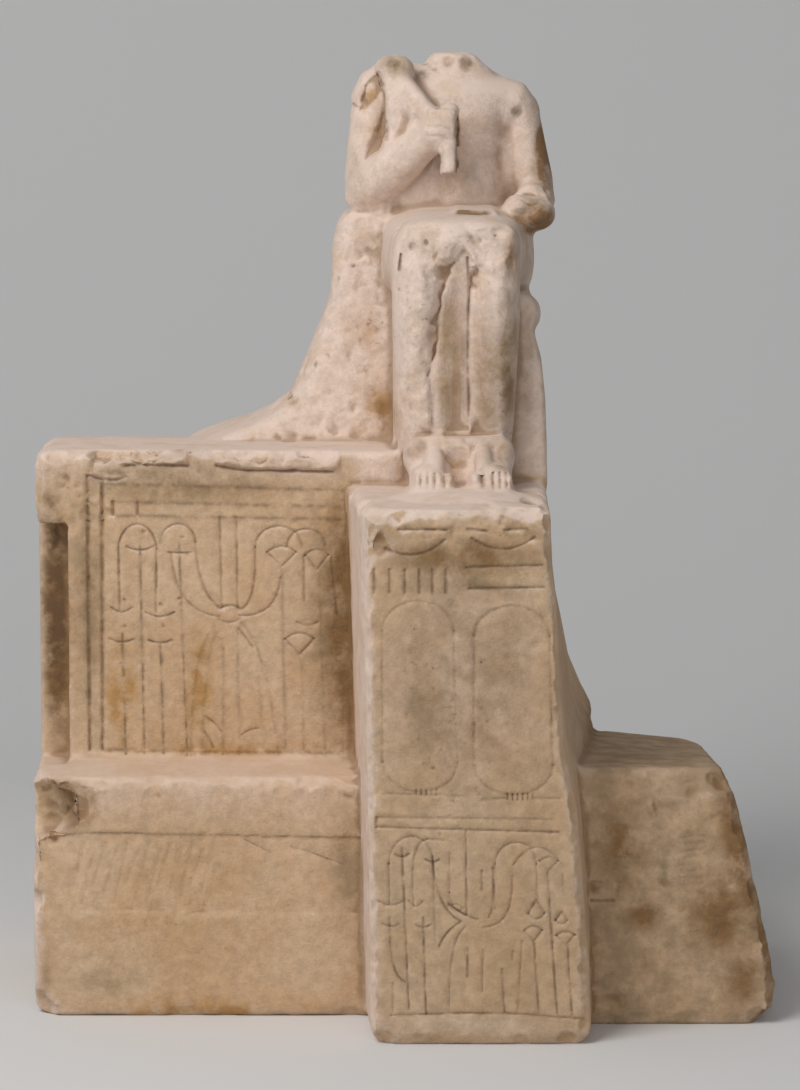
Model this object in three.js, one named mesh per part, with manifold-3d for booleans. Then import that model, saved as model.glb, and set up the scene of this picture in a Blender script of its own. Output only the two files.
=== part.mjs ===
// A headless seated king in limestone, carved in one block with its throne, a tall footrest
// and a stepped base. The left base carries a framed panel of bound plants over a ledge,
// the footrest two empty name rings over a second panel, and the right base is broken off low.
// Sizes are millimetres. X runs to the viewer's right, Y away from the viewer and Z up.
// While it is built, X = 0 is the statue's middle line and Y = 0 is the face of the left panel.

import * as THREE from 'three';
import { mergeVertices } from 'three/addons/utils/BufferGeometryUtils.js';
import Module from 'manifold-3d';

const wasm = await Module();
wasm.setup();

// Driving sizes

const BACK = 262;

const leftBase = {
  side: 378,
  height: 571,
  flatTop: 135,
  backDip: 18,
  ledge: 79,
  ledgeHeight: 254,
  ledgeFall: 8,
  cornerRadius: 9,
  endRounding: 16,
};

const rebate = { width: 33, depth: 46, aboveLedge: -7, height: 249 };

const footrest = {
  front: 199,
  height: 536,
  leftEdge: 40,
  leftEdgeAtGround: 33,
  leftSplay: 20,
  rightEdge: 143,
  rightEdgeAtGround: 185,
  cornerRadius: 13,
  topWear: 7,
};

const rightBase = {
  side: 376,
  height: 264,
  front: 116,
  tuckedIn: 36,
  backFall: 20,
  sideFall: 46,
  edgeRadius: 16,
};

const throne = { front: 26, left: 12, overhang: 4, edgeRadius: 8 };

const slope = {
  foot: 92,
  lean: 50,
  footSwell: 18,
  reach: 245,
  inside: 20,
  shortOfBack: 6,
  cornerRadius: 24,
};

const king = { height: 434, middle: 45, shortOfBack: 4, webShortOfBack: 8 };

const carving = {
  line: 3.2,
  frameLine: 3.4,
  ringLine: 3.6,
  scribedLine: 2.4,
  plainBorder: 71,
  endMargin: 2,
  aboveLedge: 5,
};

// Chips at the corners, across, back and up: where each one's middle lies from its corner, and
// its half sizes.
const chips = {
  ledgeEnd: { offset: [6, 5, -41], half: [34, 30, 27] },
  leftFoot: { offset: [-4, -5, 8], half: [30, 22, 16] },
  footrestLeft: { offset: [8, 3, 5], half: [26, 24, 14] },
  footrestRight: { offset: [-15, 9, 7], half: [20, 26, 11] },
};

// Solids from three.js geometry

const V = (x, y, z) => new THREE.Vector3(x, y, z);
const { lerp } = THREE.MathUtils;

function solid(geometry) {
  const bare = geometry.clone();
  bare.deleteAttribute('normal');
  bare.deleteAttribute('uv');
  const merged = mergeVertices(bare, 1e-4);
  return new wasm.Manifold(new wasm.Mesh({
    numProp: 3,
    vertProperties: new Float32Array(merged.attributes.position.array),
    triVerts: new Uint32Array(merged.index.array),
  }));
}

function join(...solids) {
  return solids.reduce((sum, next) => sum.add(next));
}

// A closed solid through a row of sections. Each section is a ring with the same number of
// points, counter-clockwise when it is seen from the end of the row.
function loft(sections) {
  const sides = sections[0].length;
  const rows = sections.length - 1;
  const geometry = new THREE.CylinderGeometry(1, 1, 1, sides, rows);
  const middles = sections.map((ring) => {
    const sum = ring.reduce((total, point) => total.add(point), V(0, 0, 0));
    return sum.divideScalar(sides);
  });
  const position = geometry.attributes.position;
  for (let i = 0; i < position.count; i += 1) {
    const x = position.getX(i);
    const z = position.getZ(i);
    const row = Math.round((position.getY(i) + 0.5) * rows);
    const step = Math.round((Math.atan2(x, z) / (2 * Math.PI)) * sides + sides) % sides;
    const onAxis = Math.hypot(x, z) < 0.5;
    const target = onAxis ? middles[row] : sections[row][step];
    position.setXYZ(i, target.x, target.y, target.z);
  }
  return solid(geometry);
}

// A ring round the origin: an oval that grows squarer as its power rises.
function oval(halfWidth, halfDepth, power, sides) {
  const soften = (value) => Math.sign(value) * Math.abs(value) ** (2 / power);
  return Array.from({ length: sides }, (_, i) => {
    const angle = (2 * Math.PI * i) / sides;
    return V(halfWidth * soften(Math.cos(angle)), halfDepth * soften(Math.sin(angle)), 0);
  });
}

// A level four-cornered ring with rounded corners. Its left and right ends are given in front
// and behind.
function levelQuad(z, front, back, leftFront, rightFront, leftBack, rightBack, radius) {
  const corners = [
    V(leftBack, back, z), V(leftFront, front, z), V(rightFront, front, z), V(rightBack, back, z),
  ];
  return corners.flatMap((corner, i) => {
    const before = corners[(i + 3) % 4];
    const after = corners[(i + 1) % 4];
    const start = corner.clone().addScaledVector(before.clone().sub(corner).normalize(), radius);
    const end = corner.clone().addScaledVector(after.clone().sub(corner).normalize(), radius);
    return new THREE.QuadraticBezierCurve3(start, corner, end).getPoints(3);
  });
}

// A limb through stations [point, half width, half depth]. Its width lies across the viewer's
// line of sight.
function limb(stations, sides = 14, power = 2) {
  const towardsViewer = V(0, -1, 0);
  return loft(stations.map(([point, halfWidth, halfDepth], i) => {
    const before = stations[Math.max(i - 1, 0)][0];
    const after = stations[Math.min(i + 1, stations.length - 1)][0];
    const along = after.clone().sub(before).normalize();
    const across = V().crossVectors(towardsViewer, along).normalize();
    const outward = V().crossVectors(along, across);
    return oval(halfWidth, halfDepth, power, sides).map(({ x, y }) => (
      point.clone().addScaledVector(across, x).addScaledVector(outward, y)
    ));
  }));
}

function ball(point, halfWidth, halfDepth, halfHeight) {
  const geometry = new THREE.SphereGeometry(1, 14, 8);
  geometry.rotateX(Math.PI / 2);
  geometry.scale(halfWidth, halfDepth, halfHeight);
  geometry.translate(point.x, point.y, point.z);
  return solid(geometry);
}

function box(low, high) {
  const size = high.clone().sub(low);
  const middle = low.clone().add(high).divideScalar(2);
  const geometry = new THREE.BoxGeometry(size.x, size.y, size.z);
  geometry.translate(middle.x, middle.y, middle.z);
  return solid(geometry);
}

// A cut with a diamond section along a smooth line through the points.
function groove(points, width) {
  const half = width / 2;
  const section = new THREE.Shape([
    new THREE.Vector2(half, 0), new THREE.Vector2(0, half),
    new THREE.Vector2(-half, 0), new THREE.Vector2(0, -half),
  ]);
  const path = points.length > 2
    ? new THREE.CatmullRomCurve3(points)
    : new THREE.LineCurve3(points[0], points[1]);
  const steps = 2 * points.length - 3;
  return solid(new THREE.ExtrudeGeometry(section, { steps, extrudePath: path, bevelEnabled: false }));
}

// The stone blocks

// The left base is its side view carried across: ledge in front, panel above it, flat top.
function leftBaseSolid() {
  const { side, height, ledge, ledgeHeight, ledgeFall, cornerRadius, endRounding } = leftBase;
  const corners = [
    [-ledge, 0], [BACK, 0], [BACK, height - leftBase.backDip], [leftBase.flatTop, height],
    [0, height], [0, ledgeHeight], [-ledge, ledgeHeight - ledgeFall],
  ].map(([y, z]) => new THREE.Vector2(y, z));
  const profile = new THREE.Shape();
  corners.forEach((corner, i) => {
    const before = corners[(i + corners.length - 1) % corners.length];
    const after = corners[(i + 1) % corners.length];
    const start = corner.clone().add(before.clone().sub(corner).setLength(cornerRadius));
    const end = corner.clone().add(after.clone().sub(corner).setLength(cornerRadius));
    if (i === 0) profile.moveTo(start.x, start.y);
    else profile.lineTo(start.x, start.y);
    profile.quadraticCurveTo(corner.x, corner.y, end.x, end.y);
  });
  const geometry = new THREE.ExtrudeGeometry(profile, {
    depth: side - 2 * endRounding,
    curveSegments: 2,
    bevelThickness: endRounding,
    bevelSize: endRounding / 2,
    bevelOffset: -endRounding / 2,
    bevelSegments: 2,
  });
  // The drawing's x and y become Y and Z, and its depth runs from the left side inwards.
  geometry.applyMatrix4(new THREE.Matrix4().makeBasis(V(0, 1, 0), V(0, 0, 1), V(1, 0, 0)));
  geometry.translate(endRounding - side, 0, 0);
  return solid(geometry);
}

// A tall rebate runs up the outer corner of the panel, open to the left.
function rebateCut() {
  const clear = 20;
  const bottom = leftBase.ledgeHeight + rebate.aboveLedge;
  return box(
    V(-leftBase.side - clear, -clear, bottom),
    V(rebate.width - leftBase.side, rebate.depth, bottom + rebate.height),
  );
}

// The footrest block widens to the right towards the ground, in a broken sweep.
function footrestSolid() {
  const { height, front, leftEdge, leftEdgeAtGround, rightEdge, rightEdgeAtGround } = footrest;
  const { leftSplay, cornerRadius, topWear } = footrest;
  // Shares of the height, of the front's widening and of the back's widening.
  const sweep = [
    [0, 0.98, 1.35], [0.02, 1, 1.4], [0.16, 0.93, 1.5], [0.43, 0.64, 1.5], [0.5, 0.48, 1.45],
    [0.54, 0.36, 1.15], [0.6, 0.29, 0.82], [0.66, 0.24, 0.67], [0.74, 0.19, 0.45],
    [0.84, 0.12, 0.3], [0.9, 0.03, 0.15], [0.97, 0, 0.1], [0.99, 0, 0.08], [1, 0, 0.05],
  ];
  const widening = rightEdgeAtGround - rightEdge;
  return loft(sweep.map(([rise, frontShare, backShare]) => {
    const worn = rise === 1 || rise === 0 ? topWear : 0;
    const left = -lerp(leftEdgeAtGround, leftEdge, rise);
    const splay = (leftSplay * lerp(0.55, 1, rise) * (front + BACK)) / front;
    return levelQuad(
      height * rise,
      worn - front,
      BACK,
      left + worn,
      rightEdge + widening * frontShare - worn,
      left - splay,
      rightEdge + widening * backShare - worn / 2,
      cornerRadius,
    );
  }));
}

// The right base is broken: its side leans in towards a rough, sagging top.
function rightBaseSolid() {
  const { side, height, front, backFall, sideFall, edgeRadius } = rightBase;
  const inside = footrest.rightEdge - rightBase.tuckedIn;
  const reach = side - inside;
  // Shares of the height, and of the reach to the side.
  const edge = [
    [0, 0.94], [0.06, 0.99], [0.16, 1], [0.38, 0.955], [0.66, 0.895], [0.9, 0.835], [1, 0.79],
  ];
  return loft(edge.map(([rise, outward]) => {
    const rounding = rise === 0 ? edgeRadius / 3 : 0;
    const wear = rise === 1 ? edgeRadius : 0;
    const right = inside + reach * outward - rounding;
    const ring = levelQuad(
      height * rise, rounding + wear - front, BACK - rounding, inside, right, inside, right, edgeRadius,
    );
    ring.forEach((point) => {
      const backward = (point.y + front) / (BACK + front);
      const sideways = (point.x - inside) / reach;
      point.z -= rise * (backFall * backward + sideFall * sideways ** 3 * backward);
    });
    return ring;
  }));
}

// The throne's right side follows the broken edge of the stone, with one knob left standing.
function throneSolid() {
  const { front, left, overhang, edgeRadius } = throne;
  const right = footrest.rightEdge + overhang;
  // Shares of the king's height above the soles, and how far the side lies in.
  const edge = [
    [-0.014, 0], [0.09, 0.002], [0.2, 0.006], [0.295, 0.016], [0.353, 0.033], [0.378, 0.03],
    [0.4, 0.018], [0.425, 0.03], [0.447, 0.045],
  ];
  return loft(edge.map(([rise, inset]) => levelQuad(
    footrest.height + share(rise),
    front,
    BACK,
    -left,
    right - share(inset),
    -left,
    right - share(inset + 0.01),
    edgeRadius,
  )));
}

// The broken mass rises from the left base to the elbow, steep above and spreading below.
function slopeSolid() {
  const { foot, lean, footSwell, reach, inside, shortOfBack, cornerRadius } = slope;
  const base = leftBase.height;
  const top = footrest.height + share(0.615);
  // Shares of the rise and of the reach to the left.
  const edge = [
    [-0.12, 1], [-0.03, 0.92], [0.02, 0.79], [0.06, 0.67], [0.11, 0.57], [0.18, 0.495],
    [0.28, 0.45], [0.4, 0.405], [0.52, 0.36], [0.64, 0.318], [0.85, 0.312], [0.95, 0.29], [1, 0.26],
  ];
  return loft(edge.map(([rise, outward]) => {
    const left = -reach * outward;
    const front = foot + lean * Math.max(0, rise) - footSwell * Math.max(0, 0.2 - rise);
    const radius = Math.min(cornerRadius, reach * outward * 0.3);
    const back = BACK - shortOfBack;
    return levelQuad(lerp(base, top, rise), front, back, left, inside, left, inside, radius);
  }));
}

// The king, in shares of the figure's height from the soles to the broken neck

function share(value) {
  return value * king.height;
}

function at(x, y, z) {
  return V(king.middle + share(x), share(y), footrest.height + share(z));
}

function station(x, y, z, halfWidth, halfDepth) {
  return [at(x, y, z), share(halfWidth), share(halfDepth)];
}

function lump(x, y, z, halfWidth, halfDepth, halfHeight) {
  return ball(at(x, y, z), share(halfWidth), share(halfDepth), share(halfHeight));
}

// The torso's back lies in the flat back of the block.
function torsoSolid() {
  const back = (BACK - king.shortOfBack) / king.height;
  // Height, middle, half width, front and squareness of each section.
  const sections = [
    [0.56, 0.005, 0.165, 0.3, 2.6],
    [0.62, 0.003, 0.156, 0.33, 2.6],
    [0.685, 0, 0.143, 0.345, 2.5],
    [0.74, 0, 0.14, 0.355, 2.4],
    [0.8, -0.003, 0.15, 0.348, 2.4],
    [0.855, -0.005, 0.168, 0.34, 2.5],
    [0.9, -0.004, 0.172, 0.35, 2.6],
    [0.93, 0, 0.15, 0.375, 2.4],
    [0.952, 0.01, 0.105, 0.4, 2.2],
  ];
  return loft(sections.map(([z, x, halfWidth, front, power]) => {
    const halfDepth = (back - front) / 2;
    const middle = at(x, front + halfDepth, z);
    return oval(share(halfWidth), share(halfDepth), power, 24).map((point) => point.add(middle));
  }));
}

// Stone left standing between the arms and the body.
function webSolid() {
  const back = (BACK - king.webShortOfBack) / king.height;
  const sections = [[0.58, 0, 0.2], [0.66, -0.002, 0.235], [0.78, -0.004, 0.222], [0.9, -0.01, 0.195]];
  return loft(sections.map(([z, x, halfWidth]) => {
    const front = 0.44;
    const middle = at(x, (front + back) / 2, z);
    const ring = oval(share(halfWidth), share(back - front) / 2, 4, 20);
    return ring.map((point) => point.add(middle));
  }));
}

function neckSolid() {
  // Height, middle, half width and half depth of each level section.
  const sections = [
    [0.9, 0.03, 0.11, 0.08], [0.953, 0.032, 0.08, 0.074], [0.978, 0.016, 0.068, 0.066],
    [0.992, 0.012, 0.056, 0.058], [1, 0.01, 0.042, 0.046],
  ];
  return loft(sections.map(([z, x, halfWidth, halfDepth]) => {
    const middle = at(x, 0.46, z);
    return oval(share(halfWidth), share(halfDepth), 2, 16).map((point) => point.add(middle));
  }));
}

// The shoulders run across in one beam. A broken hump stands on the right one.
function shoulders() {
  const beam = limb([
    station(-0.222, 0.46, 0.865, 0.03, 0.045),
    station(-0.185, 0.46, 0.888, 0.07, 0.08),
    station(-0.1, 0.455, 0.905, 0.07, 0.085),
    station(0, 0.455, 0.9, 0.066, 0.09),
    station(0.09, 0.46, 0.885, 0.066, 0.09),
    station(0.16, 0.465, 0.862, 0.07, 0.085),
    station(0.212, 0.465, 0.835, 0.032, 0.045),
  ]);
  return join(beam, lump(-0.135, 0.455, 0.925, 0.064, 0.08, 0.062));
}

// The right arm is bent across the chest, its fist round the crook and flail.
function rightArm() {
  const upper = limb([
    station(-0.175, 0.455, 0.9, 0.052, 0.07),
    station(-0.182, 0.445, 0.84, 0.056, 0.07),
    station(-0.188, 0.42, 0.77, 0.056, 0.068),
    station(-0.197, 0.385, 0.69, 0.054, 0.062),
    station(-0.2, 0.37, 0.64, 0.044, 0.046),
  ]);
  const fore = limb([
    station(-0.228, 0.385, 0.635, 0.03, 0.036),
    station(-0.196, 0.365, 0.672, 0.058, 0.056),
    station(-0.13, 0.325, 0.73, 0.056, 0.056),
    station(-0.07, 0.3, 0.78, 0.046, 0.05),
    station(-0.02, 0.28, 0.82, 0.042, 0.044),
  ]);
  return join(upper, fore, lump(-0.022, 0.275, 0.822, 0.05, 0.05, 0.055));
}

function crookAndFlail() {
  const shaft = limb([
    station(-0.112, 0.4, 0.95, 0.036, 0.04),
    station(-0.1, 0.36, 0.92, 0.024, 0.05),
    station(-0.05, 0.31, 0.865, 0.022, 0.05),
    station(0, 0.245, 0.78, 0.019, 0.022),
    station(0.012, 0.24, 0.725, 0.019, 0.022),
  ], 10, 2.6);
  return join(shaft, lump(0.005, 0.265, 0.865, 0.024, 0.03, 0.024));
}

// The left arm hangs to the elbow, and its forearm is broken off short on the thigh.
function leftArm() {
  const upper = limb([
    station(0.168, 0.465, 0.88, 0.05, 0.07),
    station(0.178, 0.46, 0.83, 0.05, 0.068),
    station(0.194, 0.445, 0.76, 0.048, 0.064),
    station(0.207, 0.43, 0.69, 0.05, 0.062),
    station(0.213, 0.42, 0.635, 0.047, 0.056),
    station(0.206, 0.41, 0.595, 0.03, 0.036),
  ]);
  const fore = limb([
    station(0.216, 0.44, 0.645, 0.046, 0.048),
    station(0.212, 0.38, 0.648, 0.05, 0.05),
    station(0.2, 0.3, 0.648, 0.042, 0.042),
  ]);
  return join(upper, fore, lump(0.165, 0.25, 0.64, 0.034, 0.1, 0.03));
}

// The kilt's hem comes down between the knees.
function hemSolid() {
  return lump(-0.012, 0.03, 0.5, 0.043, 0.06, 0.08);
}

// The lap is two thighs under one taut kilt, wider at the hips. Its rings stand upright.
function lapSolid() {
  // How far back, the left and right ends, the underside and the top.
  const sections = [
    [-0.066, -0.085, 0.145, 0.545, 0.6], [-0.05, -0.1, 0.155, 0.53, 0.62],
    [-0.02, -0.115, 0.163, 0.5, 0.628], [0.08, -0.14, 0.178, 0.435, 0.632],
    [0.2, -0.158, 0.205, 0.41, 0.634], [0.36, -0.165, 0.208, 0.4, 0.634],
    [0.56, -0.165, 0.2, 0.4, 0.634],
  ];
  return loft(sections.map(([y, left, right, low, high]) => {
    const middle = at((left + right) / 2, y, (low + high) / 2);
    const ring = oval(share(right - left) / 2, share(high - low) / 2, 3.2, 24);
    return ring.map((point) => V(middle.x - point.x, middle.y, middle.z + point.y));
  }));
}

function legSolid(x, spread, kneeWidth) {
  return limb([
    station(x + spread, 0.03, 0.08, 0.044, 0.066),
    station(x + spread, 0.025, 0.14, 0.052, 0.075),
    station(x + spread * 0.5, 0.02, 0.26, 0.056, 0.085),
    station(x, 0.012, 0.4, 0.06, 0.092),
    station(x + (kneeWidth - 0.06) * 0.8, 0.004, 0.53, kneeWidth, 0.086),
    station(x, 0, 0.59, 0.05, 0.06),
  ], 16);
}

function footSolid(x) {
  // How far back, half the width and the height of each upright section.
  const sections = [
    [-0.255, 0.04, 0.018], [-0.247, 0.05, 0.03], [-0.21, 0.053, 0.038], [-0.15, 0.053, 0.06],
    [-0.08, 0.051, 0.1], [0.06, 0.05, 0.13],
  ];
  const sunk = 0.03;
  return loft(sections.map(([y, halfWidth, height]) => {
    const middle = at(x, y, (height - sunk) / 2);
    const ring = oval(share(halfWidth), share(height + sunk) / 2, 2.5, 16);
    return ring.map((point) => V(middle.x - point.x, middle.y, middle.z + point.y));
  }));
}

function toeCuts(x) {
  return [-0.034, -0.013, 0.008, 0.028].map((offset) => (
    groove([at(x + offset, -0.262, 0.02), at(x + offset * 0.85, -0.205, 0.045)], share(0.011))
  ));
}

// Carved lines

// A panel places its carving by shares of its width and height from its lower left corner.
function panel(front, left, bottom, width, height, lean = 0) {
  return (u, v) => V(left + width * (u + lean * (1 - v)), -front, bottom + height * v);
}

// The left panel lies between the plain border and the footrest, above the ledge.
function leftPanel() {
  const left = carving.plainBorder - leftBase.side;
  const right = -footrest.leftEdge - footrest.leftSplay - carving.endMargin;
  const { height, ledgeHeight } = leftBase;
  const bottom = ledgeHeight + carving.aboveLedge;
  return panel(0, left, bottom, right - left, (height - ledgeHeight) * 0.776);
}

// A field on the footrest's front, in shares of the width of its upper edge and of its height.
function footrestField(left, right, bottom, top, lean) {
  const { front, height, leftEdge, rightEdge } = footrest;
  const width = leftEdge + rightEdge;
  return panel(
    front, width * left - leftEdge, height * bottom, width * (right - left), height * (top - bottom), lean,
  );
}

function line(place, points, width = carving.line) {
  return groove(points.map(([u, v]) => place(u, v)), width);
}

// A stem that rises at one share, bows over and comes down at another.
function arch(place, from, to, foot, top, end) {
  const bow = (to - from) / 2;
  return line(place, [
    [from, foot], [from, top - bow * 0.9], [from + bow, top], [to, top - bow * 0.9], [to, end],
  ]);
}

// A bud or open flower: a bowed cross stroke with a short tip.
function flower(place, u, v, size) {
  return [
    line(place, [[u - size, v], [u, v + size * 0.25], [u + size, v]]),
    line(place, [[u, v], [u, v + size * 1.2]]),
  ];
}

// The bound plants: two bunches of stems bow over and are tied round a central windpipe.
function boundPlants(place, layout) {
  const { knot, column, flowerSize, stemLean } = layout;
  const strokes = [
    ...layout.arches.map((sizes) => arch(place, ...sizes)),
    ...layout.flowers.flatMap(([u, v]) => flower(place, u, v, flowerSize)),
    ...layout.stems.map(([u, top]) => line(place, [[u + stemLean, 0], [u, top]])),
  ];
  for (const side of [-1, 1]) {
    const u = (offset) => column + side * offset;
    strokes.push(
      line(place, [[u(0.035), 0.99], [u(0.03), knot + 0.04]]),
      line(place, [
        [u(0.03), knot], [u(0.13), knot + 0.015], [u(0.19), knot + 0.08], [u(0.23), knot + 0.2],
      ]),
      line(place, [
        [u(0.04), knot - 0.03], [u(0.13), knot - 0.2], [u(0.16), knot - 0.4], [u(0.18), 0],
      ]),
      line(place, [[u(0.035), knot - 0.05], [u(0.085), knot - 0.25], [u(0.12), 0]]),
      line(place, [[u(0.03), knot - 0.1], [u(0.03), 0]]),
    );
  }
  for (const [edge, bow] of [[knot + 0.03, knot + 0.045], [knot - 0.04, knot - 0.05]]) {
    strokes.push(line(place, [[column - 0.05, edge], [column, bow], [column + 0.05, edge]]));
  }
  return strokes;
}

// Arches are given as from, to, foot, top and end, flowers by their place, stems by place and top.
const leftPlants = {
  column: 0.52,
  knot: 0.59,
  flowerSize: 0.035,
  stemLean: 0.02,
  arches: [
    [0.06, 0.215, 0.63, 0.98, 0.59], [0.235, 0.39, 0.92, 0.97, 0.68],
    [0.64, 0.8, 0.76, 0.975, 0.9], [0.77, 0.93, 0.9, 0.96, 0.86],
  ],
  flowers: [
    [0.145, 0.885], [0.31, 0.865], [0.08, 0.485], [0.235, 0.48], [0.73, 0.84], [0.84, 0.5],
    [0.97, 0.47],
  ],
  stems: [
    [0.08, 0.46], [0.145, 0.87], [0.23, 0.46], [0.31, 0.85], [0.735, 0.8], [0.82, 0.4],
    [0.895, 0.8], [0.965, 0.4],
  ],
};

const lowerPlants = {
  column: 0.44,
  knot: 0.52,
  flowerSize: 0.04,
  stemLean: 0.02,
  arches: [
    [0.01, 0.2, 0.7, 0.985, 0.9], [0.135, 0.3, 0.8, 0.975, 0.9],
    [0.56, 0.77, 0.82, 0.97, 0.66], [0.7, 0.9, 0.92, 0.945, 0.85],
  ],
  flowers: [
    [0.07, 0.9], [0.235, 0.87], [0.01, 0.5], [0.18, 0.49], [0.76, 0.45], [0.93, 0.42],
    [0.77, 0.62], [0.9, 0.58],
  ],
  stems: [
    [0.01, 0.48], [0.07, 0.88], [0.18, 0.47], [0.77, 0.4], [0.85, 0.78], [0.945, 0.37],
  ],
};

// The frame round the left panel, with a long bar under its upper edge.
function frameLines(place) {
  const ends = [
    [[-0.068, 0], [-0.062, 1.13]], [[-0.01, 0], [-0.01, 1.14]], [[-0.02, 1.145], [0.99, 1.12]],
    [[0.035, 1.07], [0.99, 1.05]], [[0.04, 1.003], [0.99, 0.995]], [[0, 0.005], [0.99, -0.01]],
    [[0.1, 1.22], [0.36, 1.215]], [[0.47, 1.212], [0.94, 1.195]],
  ];
  return ends.map((points) => line(place, points, carving.frameLine));
}

// Two scribed lines cross the lower face of the left base.
function scribedLines() {
  const width = leftBase.side - footrest.leftEdge;
  const face = leftBase.ledgeHeight - leftBase.ledgeFall;
  const place = panel(leftBase.ledge, -leftBase.side, 0, width, face);
  const ends = [[[0.2, 0.775], [0.98, 0.755]], [[0.03, 0.442], [0.98, 0.43]]];
  return ends.map((points) => line(place, points, carving.scribedLine));
}

// An empty name ring: a long oval over a base line.
function nameRing(place) {
  const turns = 18;
  const squarer = (value) => Math.sign(value) * Math.abs(value) ** 0.62;
  const points = Array.from({ length: turns }, (_, i) => {
    const angle = (2 * Math.PI * (i + 0.5)) / turns;
    return place(0.5 + 0.5 * squarer(Math.cos(angle)), 0.5 + 0.5 * squarer(Math.sin(angle)));
  });
  const cut = (from, to) => groove([from, to], carving.ringLine);
  return [
    ...points.map((point, i) => cut(point, points[(i + 1) % turns])),
    cut(place(0.02, -0.03), place(1.05, -0.035)),
  ];
}

// Worn signs stand as rows of plain strokes that spell nothing.
function signRows(place) {
  const bows = [[0, 0.41], [0.53, 0.99]].map(([from, to]) => [
    [from, 0.95], [lerp(from, to, 0.2), 0.76], [lerp(from, to, 0.5), 0.7], [lerp(from, to, 0.8), 0.76],
    [to, 0.95],
  ]);
  const uprights = [-0.04, 0.03, 0.1, 0.2, 0.3, 0.4].map((u) => [[u, 0.14], [u, 0.46]]);
  const bars = [0.44, 0.14].map((v) => [[0.53, v], [1, v - 0.02]]);
  return [...bows, ...uprights, ...bars].map((points) => line(place, points, carving.ringLine));
}

function dividingBars(place) {
  const ends = [[[0, 1], [0.92, 0.75]], [[0.01, 0.4], [1, 0]]];
  return ends.map((points) => line(place, points, carving.frameLine));
}

function carvedLines(feet) {
  return [
    ...feet.flatMap(toeCuts),
    ...frameLines(leftPanel()),
    ...boundPlants(leftPanel(), leftPlants),
    ...scribedLines(),
    ...signRows(footrestField(0.098, 0.94, 0.836, 0.97)),
    ...nameRing(footrestField(0.098, 0.508, 0.485, 0.834)),
    ...nameRing(footrestField(0.596, 1.016, 0.481, 0.827)),
    ...dividingBars(footrestField(0.06, 1.1, 0.403, 0.431)),
    ...boundPlants(footrestField(0.077, 1.115, 0.062, 0.397, 0.04), lowerPlants),
  ];
}

// Breaks: chips at the corners and the hollow under the bent elbow

function chip(corner, { offset, half }) {
  return ball(corner.add(V(...offset)), ...half);
}

function breaks() {
  const { side, ledge, ledgeHeight } = leftBase;
  const { front, height, leftEdge, rightEdge } = footrest;
  return [
    chip(V(-side, -ledge, ledgeHeight), chips.ledgeEnd),
    chip(V(-side, -ledge, 0), chips.leftFoot),
    chip(V(-leftEdge, -front, height), chips.footrestLeft),
    chip(V(rightEdge, -front, height), chips.footrestRight),
    box(at(-0.242, 0.2, 0.51), at(-0.166, 0.315, 0.607)),
  ];
}

function statueGeometry() {
  const feet = [-0.043, 0.095];
  const blocks = join(
    leftBaseSolid().subtract(rebateCut()),
    footrestSolid(),
    rightBaseSolid(),
    throneSolid(),
    slopeSolid(),
  );
  const figure = join(
    torsoSolid(),
    webSolid(),
    neckSolid(),
    shoulders(),
    rightArm(),
    crookAndFlail(),
    leftArm(),
    lapSolid(),
    hemSolid(),
    legSolid(-0.075, 0, 0.074),
    legSolid(0.107, -0.006, 0.06),
    ...feet.map(footSolid),
  );
  const cuts = [...breaks(), ...carvedLines(feet)];
  const carved = cuts.reduce((rest, cut) => rest.subtract(cut), join(blocks, figure));
  // The stone is the one large body: crumbs cut free and gaps sealed inside it are left out.
  const [stone] = carved.decompose().sort((one, other) => other.volume() - one.volume());
  const { vertProperties, triVerts } = stone.getMesh();
  const geometry = new THREE.BufferGeometry();
  geometry.setAttribute('position', new THREE.BufferAttribute(vertProperties, 3));
  geometry.setIndex(new THREE.BufferAttribute(triVerts, 1));
  // The origin is on the ground, under the middle of the stone.
  geometry.computeBoundingBox();
  const { min, max } = geometry.boundingBox;
  geometry.translate(-(min.x + max.x) / 2, -(min.y + max.y) / 2, -min.z);
  geometry.computeVertexNormals();
  return geometry;
}

const limestone = new THREE.MeshStandardMaterial({ color: 0xc9b299, roughness: 0.92, metalness: 0 });

const statue = new THREE.Mesh(statueGeometry(), limestone);
statue.name = 'seated_king_statue';

const group = new THREE.Group();
group.add(statue);

export default group;
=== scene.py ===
"""A headless seated king, carved with the throne, a tall footrest and a stepped base in one limestone.

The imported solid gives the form. A copy of it gets a little more clay, an even skin of small faces and
soft, worn edges. Then flakes are struck off, and lines, rings, plants, fingers, toes and pits are cut.
Places and lengths in the tables are millimetres. X is to the viewer's right, Y away and Z up.
"""
import itertools
import math

import bpy
import numpy as np
from mathutils import Euler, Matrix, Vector, kdtree


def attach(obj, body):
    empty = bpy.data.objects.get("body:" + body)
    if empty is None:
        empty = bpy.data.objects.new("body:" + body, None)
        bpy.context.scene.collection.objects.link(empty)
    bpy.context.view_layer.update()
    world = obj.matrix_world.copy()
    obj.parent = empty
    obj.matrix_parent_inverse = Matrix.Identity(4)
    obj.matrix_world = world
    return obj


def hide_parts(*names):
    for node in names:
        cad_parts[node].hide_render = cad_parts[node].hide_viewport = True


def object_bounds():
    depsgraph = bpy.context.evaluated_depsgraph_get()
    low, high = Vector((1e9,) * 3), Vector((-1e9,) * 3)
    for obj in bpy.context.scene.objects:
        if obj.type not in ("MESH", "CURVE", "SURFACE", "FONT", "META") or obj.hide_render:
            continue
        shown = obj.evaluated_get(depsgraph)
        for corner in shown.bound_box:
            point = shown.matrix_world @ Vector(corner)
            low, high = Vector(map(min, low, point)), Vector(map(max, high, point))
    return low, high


MM = 0.001

# The size of the skin's first faces, and how many triangles the finished stone may have.
SKIN = 2.2
MOST_TRIANGLES = 194000

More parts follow.
